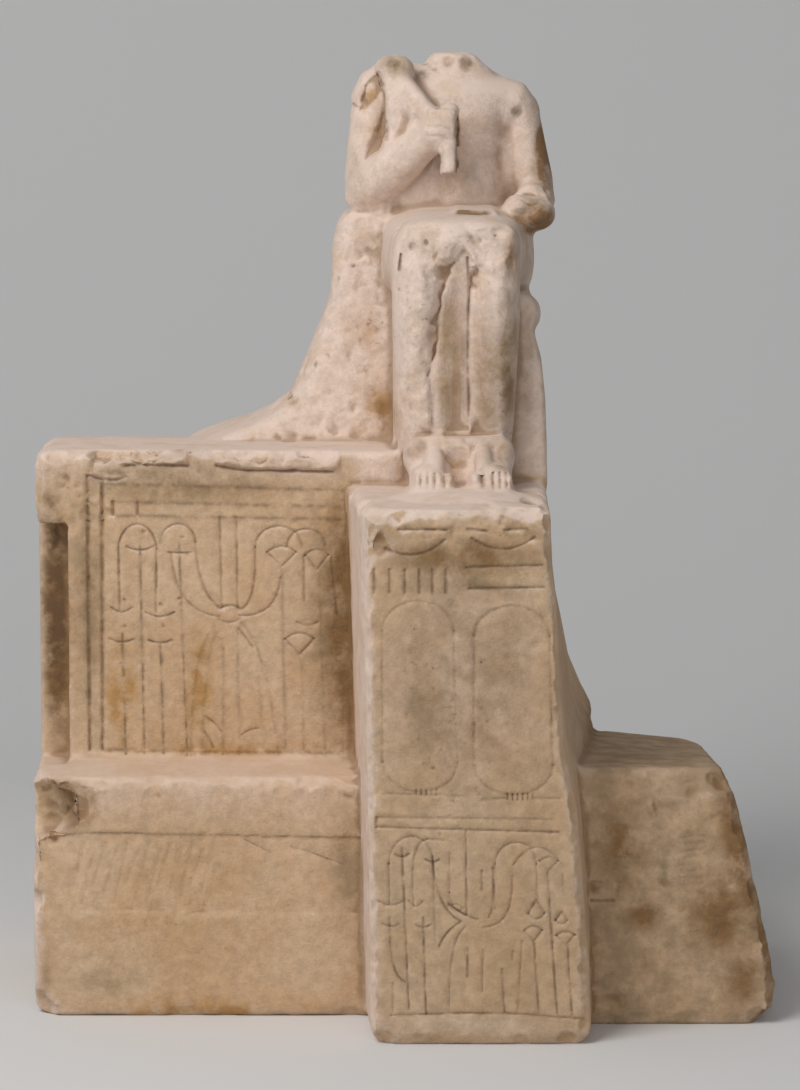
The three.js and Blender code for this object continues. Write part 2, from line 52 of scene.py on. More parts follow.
# Dirt from which a carved line keeps all its points.
DARK_LINE = 0.17

# How close to a line the faces are split, and below what height a point is put down on the floor.
LINE_REACH = 4
UNDERSIDE = 1.2

# The noise is made of chance values on a lattice, turned so that it follows no face of the stone.
LATTICE = 32
NOISE_TURN = np.array(Euler((0.5, 0.7, 0.3)).to_matrix())

# The camera looks as the photograph does: its place in metres, its tilt in degrees and its lens.
CAMERA_PLACE = (-0.004, -4.5877, 1.1149)
CAMERA_TILT = 82
LENS = 148.62

# The faces that look at the viewer, by how far back they lie.
PANEL = -31.5
LEDGE = -110.5
RIGHT_FACE = -147.5
FOOTREST = -230.5

# How near to the viewer a mark may lie: on any face, behind the ledge, or behind the footrest's edge.
ANYWHERE = -999
BEHIND_LEDGE = -60
BEHIND_FOOTREST = -152

# Carved lines are rows of (x, z) places, as the viewer sees them.


def stem(x, low, high, lean=0):
    return [(x, low), (x + lean, high)]


def bow(x, z, half, rise):
    """A shallow arc across a stem, with its middle higher or lower than its ends."""
    return [(x + half * share, z + rise * (1 - share * share)) for share in (-1, -0.5, 0, 0.5, 1)]


def arch(left, right, spring, rise):
    middle, half = (left + right) / 2, (right - left) / 2
    angles = [math.pi * step / 10 for step in range(11)]
    return [(middle - half * math.cos(angle), spring + rise * math.sin(angle)) for angle in angles]


def bend(start, pull, end):
    """A curve from start to end that leans out towards pull."""
    shares = [step / 8 for step in range(9)]
    return [
        tuple((1 - t) ** 2 * a + 2 * t * (1 - t) * b + t * t * c for a, b, c in zip(start, pull, end))
        for t in shares
    ]


def bud(x, z, half, drop):
    """A small closed flower: a shallow bow over two sides that meet below."""
    return [bow(x, z, half, drop * 0.4), [(x - half, z), (x, z - drop), (x + half, z)]]


def ring(left, right, low, high, rise):
    """An upright ring: an arch, two sides and an arch turned over."""
    return [
        arch(left, right, high - rise, rise),
        arch(left + 1, right + 4, low + rise, -rise),
        stem(left, low + rise, high - rise),
        stem(right + 4, low + rise, high - rise, -4),
    ]


PANEL_BORDER = [
    stem(-323, 262, 545),
    stem(-310, 262, 538, 2),
]
PANEL_FRAME = [
    [(-321, 543), (-308, 538), (-62, 531)],
    [(-298, 519), (-62, 514)],
    [(-298, 505), (-63, 501)],
    stem(-297, 505, 519),
    stem(-272, 505, 518),
    [(-309, 262), (-190, 260), (-63, 259)],
]
PANEL_STEPS = [
    [(-284, 557), (-221, 556)],
    [(-191, 556), (-169, 552), (-73, 550)],
    [(-320, 545), (-308, 541), (-293, 541), (-283, 545)],
]
PANEL_DARK_STEMS = [
    arch(-292, -253, 470, 26), stem(-291, 408, 470, -1), stem(-254, 405, 470, 1),
    stem(-267, 258, 481, -3), bow(-270, 473, 14, -4),
    stem(-223, 257, 476, -7), bow(-229, 467, 12, -1),
    bow(-289, 410, 11, -5), bow(-250, 405, 15, -5),
    bow(-289, 377, 13, -3), bow(-250, 376, 12, -3),
    stem(-286, 258, 383, -3), stem(-247, 258, 382, -3),
]
PANEL_STEMS = [
    arch(-249, -213, 477, 19), bend((-213, 477), (-211, 425), (-188, 408)),
    bend((-238, 465), (-234, 404), (-188, 400)),
    stem(-186, 410, 503, -2), stem(-170, 410, 503, -1), bow(-178, 409, 9, 3), bow(-179, 398, 11, -4),
    bend((-169, 407), (-150, 411), (-152, 472)), arch(-152, -104, 472, 22),
    bend((-169, 401), (-130, 399), (-126, 441)), arch(-119, -80, 474, 17),
    *bud(-125, 467, 15, 15), stem(-122, 257, 452, -3), stem(-102, 417, 463),
    *bud(-89, 464, 12, 15), stem(-81, 257, 449, -6), stem(-68, 403, 461, -6),
    bow(-99, 395, 11, -4), bow(-70, 391, 12, -2),
    *bud(-107, 377, 15, 16), stem(-103, 257, 357, -2), bow(-66, 369, 8, -1), stem(-63, 254, 355, -1),
    bend((-194, 391), (-219, 365), (-219, 257)), bend((-193, 383), (-204, 360), (-208, 258)),
    stem(-186, 258, 378, 1), stem(-169, 258, 388, -2),
    bend((-169, 396), (-142, 378), (-129, 257)), bend((-169, 388), (-163, 379), (-155, 369)),
    stem(-144, 258, 338, -5),
    bend((-204, 296), (-195, 291), (-187, 280)), bend((-205, 280), (-200, 273), (-196, 264)),
    bend((-167, 277), (-159, 284), (-149, 284)),
]
STROKES = [
    [(-5, 517), (41, 517)],
    bend((-18, 498), (14, 483), (40, 507)),
    [(62, 518), (80, 516)],
    [(98, 517), (120, 518)],
    bend((66, 509), (97, 486), (128, 510)),
    *[stem(x, 455, 478) for x in (-29, -14, 1, 15, 28, 41)],
    [(62, 480), (135, 482)],
    [(64, 459), (137, 460)],
    [(189, 148), (198, 148)],
    [(189, 129), (211, 129)],
]
RINGS = [
    *ring(-21, 49, 256, 447, 30),
    *ring(69, 143, 253, 442, 30),
    [(-20, 255), (58, 252)],
    [(77, 249), (100, 250)],
    [(129, 250), (153, 250)],
    [(-26, 231), (146, 229)],
]
RING_TIES = [stem(x, 254, 259) for x in range(12, 33, 5)] + [stem(x, 249, 255) for x in range(102, 128, 5)]
LOWER_FRAME = [
    [(-27, 221), (152, 216)],
    stem(-27, 221, 231),
    [(-13, 31), (66, 33), (119, 32), (178, 27)],
]
LOWER_DARK_STEMS = [
    stem(5, 38, 200, -7), bow(-2, 194, 7, -3),
    bend((28, 192), (31, 139), (56, 126)), bow(28, 189, 7, -3),
    stem(62, 132, 217, -1), stem(77, 158, 177), bend((88, 180), (90, 138), (84, 130)),
    bend((44, 144), (58, 132), (73, 128)),
    bow(-13, 124, 8, -3), bend((-14, 130), (-15, 70), (1, 65)),
    bow(19, 123, 8, -3), stem(22, 32, 130, -3), bend((55, 125), (40, 116), (35, 101)),
    stem(152, 33, 176, -10), stem(134, 33, 104, -5), stem(167, 31, 102, -5), stem(100, 34, 78, -3),
    stem(63, 70, 99),
]
LOWER_STEMS = [
    arch(-15, 29, 184, 28), stem(-14, 144, 184, -1), stem(31, 106, 184, -2),
    bow(-13, 146, 11, -4), bow(12, 147, 7, -6),
    bend((10, 141), (4, 206), (23, 209)), [(23, 209), (39, 208)],
    stem(45, 155, 196), bend((45, 155), (45, 138), (62, 132)),
    stem(90, 139, 184), arch(90, 131, 184, 22), stem(132, 151, 184, -1),
    bend((108, 183), (130, 218), (155, 185)), stem(157, 162, 174),
    bend((107, 172), (110, 122), (79, 120)),
    *bud(131, 134, 8, -14), *bud(156, 127, 6, -9), *bud(128, 117, 9, 11), *bud(160, 112, 9, 10),
    *bud(143, 187, 9, 10),
    bend((61, 121), (44, 110), (45, 34)), stem(78, 55, 97), stem(113, 35, 106, 4), stem(108, 87, 96),
    stem(-11, 34, 64),
    [(44, 142), (52, 144), (59, 139), (52, 136), (44, 142)],
]
SCRIBED = [
    [(-367, 187), (-314, 191), (-207, 189), (-45, 186)],
    [(-162, 184), (-136, 171)],
    [(-114, 176), (-91, 169), (-62, 158)],
]
TOOL_MARKS = [stem(x, 118 + 9 * (x % 3), 180 - 7 * (x % 2), 14) for x in range(-338, -200, 11)]
TOOL_MARKS += [[(278, z), (301, z + 2)] for z in range(144, 194, 7)]

# How each kind of line is cut: the lines, the width, the depth, the dirt and how near they may lie.
CUTS = [
    (PANEL_BORDER, 5, 2.4, 0.6, BEHIND_LEDGE),
    (PANEL_FRAME, 4.6, 2.6, 0.6, BEHIND_LEDGE),
    (PANEL_STEPS, 5, 2.6, 0.4, BEHIND_LEDGE),
    (PANEL_DARK_STEMS, 3.0, 1.6, 0.75, BEHIND_LEDGE),
    (PANEL_STEMS, 3.4, 1.6, 0.35, BEHIND_LEDGE),
    (STROKES, 4.2, 1.9, 0.55, ANYWHERE),
    (RINGS, 4, 1.1, 0.25, ANYWHERE),
    (RING_TIES, 2.4, 1.2, 0.9, ANYWHERE),
    (LOWER_FRAME, 3.8, 1.6, 0.4, ANYWHERE),
    (LOWER_DARK_STEMS, 3.0, 1.5, 0.65, ANYWHERE),
    (LOWER_STEMS, 3.2, 1.5, 0.25, ANYWHERE),
    (SCRIBED, 2.4, 0.8, 0.6, ANYWHERE),
    (TOOL_MARKS, 5, 0.9, 0.05, ANYWHERE),
]

# Lines of the figure: its places, the width, the depth and the dirt. On the band's right edge the dirt is
# painted shadow.
FIGURE_LINES = [
    ([(-28, 949), (-25, 943), (-22, 938)], 4, 2, 0.6),
    ([(-53, 916), (-48, 913)], 3, 2, 0.7),
    ([(-18, 900), (-17, 892), (-18, 882)], 4, 2, 0.8),
    # The band's right edge: its dirt is painted shadow.
    ([(12, 943), (24, 929), (35, 916)], 6, 3, 0.5),
    ([(25, 896), (37, 897), (49, 893)], 3.2, 1, 0.1),
    ([(23, 886), (37, 887), (51, 882)], 3.2, 1, 0.1),
    ([(-3, 773), (-4, 766), (-5, 758)], 3.4, 3, 0.9),
    ([(-19, 817), (-19, 806), (-21, 800)], 5, 2.5, 0.6),
    ([(64, 770), (66, 748), (65, 698), (65, 664), (66, 630), (66, 603)], 4, 2.4, 0.5),
    ([(3, 742), (4, 692), (5, 647), (6, 596)], 4, 0.8, 0.1),
    ([(17, 560), (16.5, 547)], 2.6, 2.5, 0.1),
    ([(24, 561), (24, 547)], 2.6, 2.5, 0.1),
    ([(31, 561), (31, 547)], 3, 2.5, 0.15),
    ([(40, 562), (41, 547)], 3.4, 3.5, 0.2),
    ([(77, 563), (79, 548)], 5, 5, 0.5),
    ([(89, 561), (89, 547)], 3.2, 3.5, 0.3),
    ([(96, 560), (96.5, 547)], 3, 3, 0.25),
    ([(102.5, 559), (103, 547)], 2.8, 2.5, 0.25),
    ([(37, 868), (38, 850), (46, 846), (54, 851)], 3, 0.8, 0.7),
]

# Ridges left standing: the places, the width and the height.
RIDGES = [
    ([(3, 963), (9, 957), (12, 949)], 9, 3),
    ([(-40, 947), (-48, 932), (-53, 919)], 6, 1.6),
    ([(103, 810), (108, 817), (113, 823), (121, 827), (132, 827), (143, 824)], 8, 3),
    ([(-17, 802), (-4, 807), (11, 811), (33, 812), (50, 813)], 7, 1.5),
    ([(242, 272), (244, 240), (252, 217)], 6, 1.5),
]

# Hollows: the place, its reach across and up, its depth, the turn in degrees and the dirt.
HOLLOWS = [
    (-10, 957, 9, 11, 2.5, 0, 0.3),
    (18, 946, 8, 9, 5, 0, 0.7),
    (119, 908, 9, 8, 2.5, 0, 0.4),
    (46, 959, 8.5, 9, 4, 0, 0.4),
    (66, 959, 10, 9, 3, 0, 0.6),
    (-52, 749, 4, 3, 2, 30, 0.7),
    (67, 842, 2.4, 3, 1, 0, 0.5),
    (53, 829, 1.8, 6, 0.8, 12, 0.4),
    (9, 781, 5, 7, 2.6, 20, 0.4),
    (22, 785, 4, 5, 2, 0, 0.4),
    (92, 792, 2.2, 2.2, 2.4, 0, 0.9),
    (-52, 750, 3, 2.4, 1.5, 0, 0.8),
    (-68, 737, 2.6, 2.6, 1.5, 0, 0.8),
    (-5, 738, 2.2, 2.2, 1.6, 0, 0.8),
    (-92, 648, 2.6, 4.5, 2, 0, 0.8),
    (-117, 611, 9, 6, 4, 35, 0.5),
]
BASE_HOLLOWS = [
    (-266, 488, 3, 3, 1.6, 0, 0.9),
    (-227, 483, 3, 3, 1.6, 0, 0.9),
    (-247, 391, 3, 3, 1.6, 0, 0.9),
    (-286, 391, 3, 3, 1.6, 0, 0.9),
    (-286, 418, 2.4, 2.4, 1.6, 0, 0.9),
    (-249, 413, 3, 3, 1.6, 0, 0.9),
    (-230, 419, 3.4, 2.4, 1.6, 0, 0.9),
    (-24, 502, 15, 14, 4, 0, 0.3),
    (76, 386, 2, 2, 1.6, 0, 0.9),
    (29, 281, 2.6, 2, 1.6, 0, 0.9),
    (36, 299, 2, 1.6, 1.4, 0, 0.9),
    (10, 420, 1.8, 1.8, 1.3, 0, 0.8),
    (-375, 497, 3, 3.4, 3, 0, 0.8),
    (-341, 211, 3, 3, 4, 0, 0.9),
    (-294, 548, 18, 5, 2.4, 0, 0.5),
]
ALL_HOLLOWS = [(BEHIND_FOOTREST, HOLLOWS), (ANYWHERE, BASE_HOLLOWS)]

# Dents pressed in from whichever side: the place, the reach, the depth and the brown in it.
# One without depth is a stain alone, or painted shade where it is marked so.
DENTS = [
    ((70, 12, 811), (21, 12, 8), 0, 2),
    # The next two are painted shade in the hollows under the hem beside the ankles.
    ((12, -68, 576), (15, 24, 15), 0, 0.4),
    ((99, -70, 574), (15, 24, 15), 0, 0.7),
    ((126, -165, 540), (13, 30, 12), 5, 0.8),
    # The brown in this chip is painted shade.
    ((-345, -112, 218), (44, 30, 36), 6, 0.8),
    ((-374, -112, 184), (40, 34, 42), 2.5, 0),
    ((-34, -228, 506), (30, 26, 36), 2.5, 0.2),
    ((36, 66, 858), (4, 12, 12), 0, 0.9),
    ((55, 66, 858), (4, 12, 14), 0, 0.9),
    ((46, 60, 846), (10, 10, 5), 0, 0.7),
    # The next three are painted shade: by the fist's right edge, under the broken forearm and on the outer
    # arm's right side.
    ((56, 90, 890), (5, 30, 22), 0, 0.8),
    ((132, 50, 804), (26, 44, 20), 0, 1.6),
    ((150, 130, 872), (15, 40, 58), 0, 1.5),
    ((68, 128, 958), (13, 40, 12), 0, 0.5),
    ((20, 120, 950), (9, 30, 12), 0, 0.6),
]

# Flat breaks, and steps left proud of the face: the outline, the depth and how soft its edge is.
FIGURE_STEPS = [
    ([(-60, 797), (-24, 802), (-25, 778), (-33, 761), (-48, 758), (-55, 768)], 5, 5),
    ([(-26, 951), (-20, 944), (-23, 930), (-38, 911), (-47, 908), (-45, 922), (-37, 940)], 6, 4),
    ([(-21, 908), (-20, 880), (-25, 870), (-40, 860), (-36, 873), (-28, 892)], 5, 5),
    ([(54, 872), (53, 908), (57, 911), (58, 872)], 7, 3),
    ([(62, 798), (103, 800), (105, 774), (92, 764), (72, 768)], 2.5, 4),
    ([(-10, 798), (28, 803), (38, 778), (22, 755), (-2, 765)], 2.5, 4),
]
BASE_STEPS = [
    ([(-290, 580), (-222, 580), (-221, 559), (-288, 558)], -5, 3),
    ([(-192, 578), (-66, 576), (-66, 553), (-165, 554), (-192, 559)], -5, 3),
    ([(-362, 470), (-352, 520), (-344, 560), (-380, 560), (-380, 470)], -1.5, 6),
    ([(-372, 187), (-314, 191), (-207, 189), (-40, 186), (-40, 107), (-372, 109)], 1.8, 2),
    ([(44, 440), (52, 460), (30, 500), (-2, 520), (60, 520), (150, 505), (150, 450)], 1.2, 3),
    ([(52, 400), (50, 262), (60, 262), (62, 396)], -1, 4),
]


def select_only(*objects):
    bpy.ops.object.select_all(action="DESELECT")
    for obj in objects:
        obj.select_set(True)
    bpy.context.view_layer.objects.active = objects[0]


def apply_modifier(obj, kind, **settings):
    modifier = obj.modifiers.new(kind.title(), kind)
    for name, value in settings.items():
        setattr(modifier, name, value)
    select_only(obj)
    bpy.ops.object.modifier_apply(modifier=modifier.name)


def smoothly(value, low, high):
    """From 0 at low to 1 at high, with soft ends."""
    share = np.clip((value - low) / (high - low), 0, 1)
    return share * share * (3 - 2 * share)


def noise(points, size, seed):
    """Smooth noise from -1 to 1 that changes over a length of size."""
    lattice = np.random.default_rng(seed).uniform(-1, 1, (LATTICE, LATTICE, LATTICE))
    cell = points @ NOISE_TURN / size
    low = np.floor(cell).astype(int)
    share = cell - low
    share = share**3 * (share * (6 * share - 15) + 10)
    total = np.zeros(len(points))
    for corner in itertools.product((0, 1), repeat=3):
        weight = np.where(corner, share, 1 - share).prod(axis=1)
        i, j, k = ((low + corner) % LATTICE).T
        total += weight * lattice[i, j, k]
    return total


def rubble(points, size, seed, layers=3):
    """Noise with finer and weaker noise over it, as on broken stone."""
    return sum(noise(points, size / 2**i, seed + i) / 1.8**i for i in range(layers))


def line_distance(points, line):
    """How far each point is from a row of (x, z) places, as the viewer sees it."""
    flat = points[:, [0, 2]]
    nearest = np.full(len(points), np.inf)
    for start, end in zip(np.array(line[:-1], float), np.array(line[1:], float)):
        step = end - start
        along = np.clip((flat - start) @ step / (step @ step), 0, 1)
        gap = flat - start - along[:, None] * step
        nearest = np.minimum(nearest, np.hypot(gap[:, 0], gap[:, 1]))
    return nearest


def depth_inside(points, outline):
    """How far each point is inside an outline of (x, z) places. Outside it is negative."""
    edge = line_distance(points, outline + outline[:1])
    x, z = points[:, 0], points[:, 2]
    inside = np.zeros(len(points), bool)
    for (x0, z0), (x1, z1) in zip(outline, outline[1:] + outline[:1]):
        if z0 == z1:
            continue
        crosses = (z0 > z) != (z1 > z)
        inside ^= crosses & (x < (x1 - x0) * (z - z0) / (z1 - z0) + x0)
    return np.where(inside, edge, -edge)


class Skin:
    """The stone's surface as points, moved in bulk the way a carver takes stone away."""

    def __init__(self, obj):
        self.obj = obj
        self.read()

    def read(self):
        values = np.empty(len(self.obj.data.vertices) * 3, np.float32)
        self.obj.data.vertices.foreach_get("co", values)
        self.at = values.reshape(-1, 3).astype(float) / MM
        self.obj.data.vertices.foreach_get("normal", values)
        self.normal = values.reshape(-1, 3).astype(float)

    def write(self):
        self.obj.data.vertices.foreach_set("co", (self.at * MM).astype(np.float32).ravel())
        self.obj.data.update()
        self.read()

    def window(self, places, margin, nearest, layer):
        """The points round some places that face the viewer and aren't behind another layer.

        Points nearer to the viewer than nearest are left out."""
        places = np.array(places, float)
        left, low = places.min(axis=0) - np.array(margin)
        right, high = places.max(axis=0) + np.array(margin)
        x, y, z = self.at.T
        chosen = (x > left) & (x < right) & (z > low) & (z < high) & (self.normal[:, 1] < -0.1)
        chosen = np.flatnonzero(chosen & (y > nearest))
        if len(chosen) and layer:
            chosen = chosen[y[chosen] < y[chosen].min() + layer]
        return chosen

    def groove(self, line, width, depth, nearest, layer=30):
        """A sharp cut along a line, uneven as by hand, with a soft dip to both sides."""
        chosen = self.window(line, 1.5 * width, nearest, layer)
        points = self.at[chosen]
        if not len(points):
            return
        uneven = 1 + 0.35 * noise(points, 16, 51) + 0.2 * noise(points, 5, 52)
        gap = line_distance(points, line) / (width / 2 * uneven)
        cut = 0.85 * np.clip(1 - gap, 0, 1) ** 0.8 + 0.25 * np.clip(1 - gap / 3, 0, 1) ** 2
        self.at[chosen, 1] += depth * uneven * cut

    def hollow(self, x, z, across, up, depth, turn, nearest):
        chosen = self.window([(x, z)], max(across, up), nearest, 26)
        reach = self.reach(chosen, x, z, across, up, turn)
        ragged = reach * (1 + 0.3 * noise(self.at[chosen], 7, 5))
        self.at[chosen, 1] += depth * smoothly(1 - ragged, 0, 0.55)

    def dent(self, place, halves, depth):
        """Presses the surface in along its own direction."""
        near = self.nearness(place, halves)
        self.at -= self.normal * (depth * smoothly(near, 0, 0.55))[:, None]

    def nearness(self, place, halves):
        """From 1 at a place down to 0 all round it."""
        return np.clip(1 - np.linalg.norm((self.at - place) / halves, axis=1), 0, 1)

    def reach(self, chosen, x, z, across, up, turn):
        """How far out in an ellipse the chosen points are. Its edge is at 1."""
        dx, dz = self.at[chosen, 0] - x, self.at[chosen, 2] - z
        angle = math.radians(turn)
        side = (dx * math.cos(angle) - dz * math.sin(angle)) / across
        rise = (dx * math.sin(angle) + dz * math.cos(angle)) / up
        return np.hypot(side, rise)

    def sink(self, outline, depth, soft, nearest=ANYWHERE):
        """Sets the face inside an outline back by a depth."""
        chosen = self.window(outline, soft, nearest, 60)
        ragged = depth_inside(self.at[chosen], outline) + 1.5 * noise(self.at[chosen], 8, 21)
        self.at[chosen, 1] += depth * smoothly(ragged, -soft / 2, soft / 2)

    def level(self, outline, back, soft, fill):
        """Takes the stone inside an outline back to a surface, and fills a little up to it."""
        chosen = self.window(outline, soft, BEHIND_FOOTREST, 0)
        chosen = chosen[self.at[chosen, 1] < back[chosen] + fill]
        points = self.at[chosen]
        ragged = depth_inside(points, outline) + 1.8 * noise(points, 9, 21)
        self.at[chosen, 1] += (back[chosen] - points[:, 1]) * smoothly(ragged, -soft / 2, soft / 2)


def shaped(obj, place, halves, turn=(0, 0, 0)):
    obj.scale = Vector(halves) * MM
    obj.rotation_euler = [math.radians(angle) for angle in turn]
    obj.location = Vector(place) * MM
    bpy.ops.object.transform_apply(location=True, rotation=True, scale=True)
    return obj


def clay_ball(place, halves, turn=(0, 0, 0)):
    bpy.ops.mesh.primitive_uv_sphere_add(segments=24, ring_count=16, radius=1)
    return shaped(bpy.context.object, place, halves, turn)


def clay_block(place, halves, turn=(0, 0, 0), rounding=3):
    bpy.ops.mesh.primitive_cube_add(size=2)
    block = shaped(bpy.context.object, place, halves, turn)
    apply_modifier(block, "BEVEL", width=rounding * MM, segments=3)
    return block


def clay_rod(start, end, radius):
    start, end = Vector(start), Vector(end)
    bpy.ops.mesh.primitive_cylinder_add(vertices=24, radius=1, depth=2)
    rod = bpy.context.object
    turn = [math.degrees(angle) for angle in (end - start).to_track_quat("Z", "Y").to_euler()]
    return shaped(rod, (start + end) / 2, (radius, radius, (end - start).length / 2), turn)


def base_clay(node):
    """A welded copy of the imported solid, with the stone between the legs, the grip and the feet."""
    bpy.ops.object.select_all(action="DESELECT")
    stone = node.copy()
    stone.data = node.data.copy()
    stone.name = "seated_king"
    bpy.context.scene.collection.objects.link(stone)
    select_only(stone)
    bpy.ops.object.mode_set(mode="EDIT")
    bpy.ops.mesh.select_all(action="SELECT")
    bpy.ops.mesh.remove_doubles(threshold=0.000001)
    bpy.ops.object.mode_set(mode="OBJECT")
    add_clay(stone, [
        clay_block((54, -11, 655), (18, 34, 125)),
        clay_block((46, -36, 598), (22, 16, 8)),
        clay_ball((46, -40, 781), (30, 26, 26)),
        clay_ball((68, -42, 770), (14, 22, 18)),
        clay_block((30, -40, 622), (14, 20, 26)),
        clay_ball((12, -64, 570), (14, 18, 20)),
        clay_ball((101, -62, 570), (12, 18, 20)),
        clay_block((54, -54, 564), (15, 26, 20)),
        clay_block((0, 0, 552), (15, 26, 18)),
        clay_ball((58, -128, 531), (80, 60, 14)),
        clay_ball((-10, 128, 954), (22, 18, 15)),
        clay_rod((-20, 126, 946), (20, 98, 908), 12),
        clay_block((-4, 121, 908), (15, 17, 27), rounding=6),
        clay_ball((8, 128, 840), (46, 20, 40)),
        clay_ball((-26, 132, 812), (20, 22, 14)),
        clay_ball((11, 100, 893), (8, 12, 8)),
        clay_ball((-17, 112, 877), (8, 13, 8)),
        clay_ball((35, 80, 891), (18, 19, 24)),
        clay_ball((137, 82, 806), (21, 54, 18)),
        clay_block((109, 172, 850), (9, 30, 52), rounding=5),
        clay_block((114, 100, 800), (16, 50, 12)),
        clay_ball((132, 20, 708), (9, 26, 16)),
    ])
    return stone


def add_clay(stone, clay):
    select_only(stone, *clay)
    bpy.ops.object.join()


def fine_clay(stone):
    """The toes, the ends of the grip and the raised chunk on the footrest's edge."""
    toes = [
        (14, 3.6), (20.8, 3.4), (27, 3.7), (35, 4.4), (45.5, 5.2),
        (71.5, 5.6), (85, 4), (93, 3.4), (99.6, 3.2), (105.5, 3),
    ]
    clay = [clay_ball((x, -118, 552), (half, 15, 6 + half / 3)) for x, half in toes]
    clay += [
        clay_ball((31, -86, 569), (10, 44, 9), (24, 0, 0)),
        clay_ball((80, -86, 569), (9, 44, 9), (24, 0, 0)),
        clay_block((27, -56, 586), (13, 12, 4), (0, -8, 0), rounding=2),
        clay_block((50, -52, 586), (10, 24, 3.5), rounding=2),
        clay_block((80, -56, 586), (22, 14, 4), (0, -3, 0), rounding=2),
        clay_ball((25, -100, 555), (17, 26, 12)),
        clay_ball((91, -100, 555), (18, 26, 12)),
        clay_block((73, 58, 809.5), (23, 46, 4.5), rounding=4),
        clay_rod((46, 74, 882), (46, 60, 847), 9),
        clay_block((38, 82, 897), (15, 16, 18), (0, 6, 0), rounding=5),
        clay_block((112, -196, 530), (26, 24, 8), (0, 3, 8)),
    ]
    add_clay(stone, clay)


def skinned(stone):
    """Covers the clay with small even faces."""
    apply_modifier(stone, "REMESH", mode="VOXEL", voxel_size=SKIN * MM)


def soften(stone, rounds):
    apply_modifier(stone, "SMOOTH", factor=0.5, iterations=rounds)


def soften_partly(skin, rounds, share_at):
    """Softens each point by the share that share_at gives for its place."""
    crisp = skin.at.copy()
    soften(skin.obj, rounds)
    skin.read()
    skin.at = crisp + (skin.at - crisp) * share_at(crisp)[:, None]
    skin.write()


def figure_and_wear(points):
    """The whole figure, and elsewhere patches worn more than others."""
    x, _, z = points.T
    figure = smoothly(z, 552, 575) * smoothly(x, -70, -50)
    worn = 0.3 + 0.7 * smoothly(noise(points, 42, 11) + 0.6 * noise(points, 15, 12), -0.5, 0.5)
    return np.maximum(figure, worn)


def lap_and_legs(points):
    x, _, z = points.T
    return smoothly(z, 592, 615) * smoothly(-z, -842, -826) * smoothly(x, -70, -50)


def even_skin(stone):
    """An even skin over the clay. Edges and figure are softened, and the broad faces are kept."""
    skinned(stone)
    soften(stone, 3)
    skin = Skin(stone)
    soften_partly(skin, 20, figure_and_wear)
    fine_clay(stone)
    skinned(stone)
    soften(stone, 4)
    skin.read()
    soften_partly(skin, 14, lap_and_legs)
    return skin


def flatten_faces(skin):
    """Brings the carved faces to one plane again before the fine lines are cut."""
    x, y, z = skin.at.T
    faces = [
        (PANEL, (x < -44) & (z > 262) & (z < 562)),
        (LEDGE, (x < -44) & (z > 12) & (z < 236)),
        (FOOTREST, (x > -34) & (x < 176) & (z > 14) & (z < 520)),
        (RIGHT_FACE, (x > 150) & (z > 14) & (z < 225)),
    ]
    for plane, window in faces:
        near = window & (np.abs(y - plane) < 3.2)
        skin.at[near, 1] = plane
    skin.write()


def sculpt_breaks(skin):
    """The recess between the legs, the gap between the feet and the flat breaks."""
    legs = [(61, 781), (70, 768), (67, 752), (64, 710), (65, 650), (66, 595), (28, 595), (26, 602),
            (26, 644), (29, 662), (35, 687), (36, 711), (39, 732), (44, 748), (53, 768)]
    feet = [(37, 582), (41, 569), (49, 560), (58, 557), (63, 561), (64, 570), (62, 582)]
    x, _, z = skin.at.T
    recess = -45 - 11 * smoothly(z, 705, 780) - 9 * smoothly(-x, -60, -30)
    skin.level(legs, recess, soft=2.5, fill=30)
    skin.level(feet, np.full(len(z), -78), soft=3, fill=0)
    for outline, depth, soft in FIGURE_STEPS:
        skin.sink(outline, depth, soft, nearest=BEHIND_FOOTREST)
    for outline, depth, soft in BASE_STEPS:
        skin.sink(outline, depth, soft)
    skin.write()


def roughen(skin):
    """Soft waves, weak on the carved faces and weaker on what is turned away from the viewer."""
    x, _, z = skin.at.T
    away, up = skin.normal[:, 1:].T
    panel = smoothly(-away, 0.8, 0.97) * ((z < 545) & (x < 200))
    figure = smoothly(z, 545, 560) * smoothly(x, -62, -50)
    hidden = np.maximum(smoothly(away, 0.3, 0.8), smoothly(-up, 0.3, 0.8))
    turned = smoothly(away, -0.8, -0.3)
    waves = 0.6 * rubble(skin.at, 34, 31, 2) * (1 - 0.8 * panel) * (1 - 0.5 * figure)
    waves *= 1 - 0.92 * turned
    dents = 0.32 * rubble(skin.at, 13, 41, 2) * (1 - hidden) * (1 - 0.92 * turned)
    skin.at += skin.normal * (waves + dents)[:, None]
    skin.write()


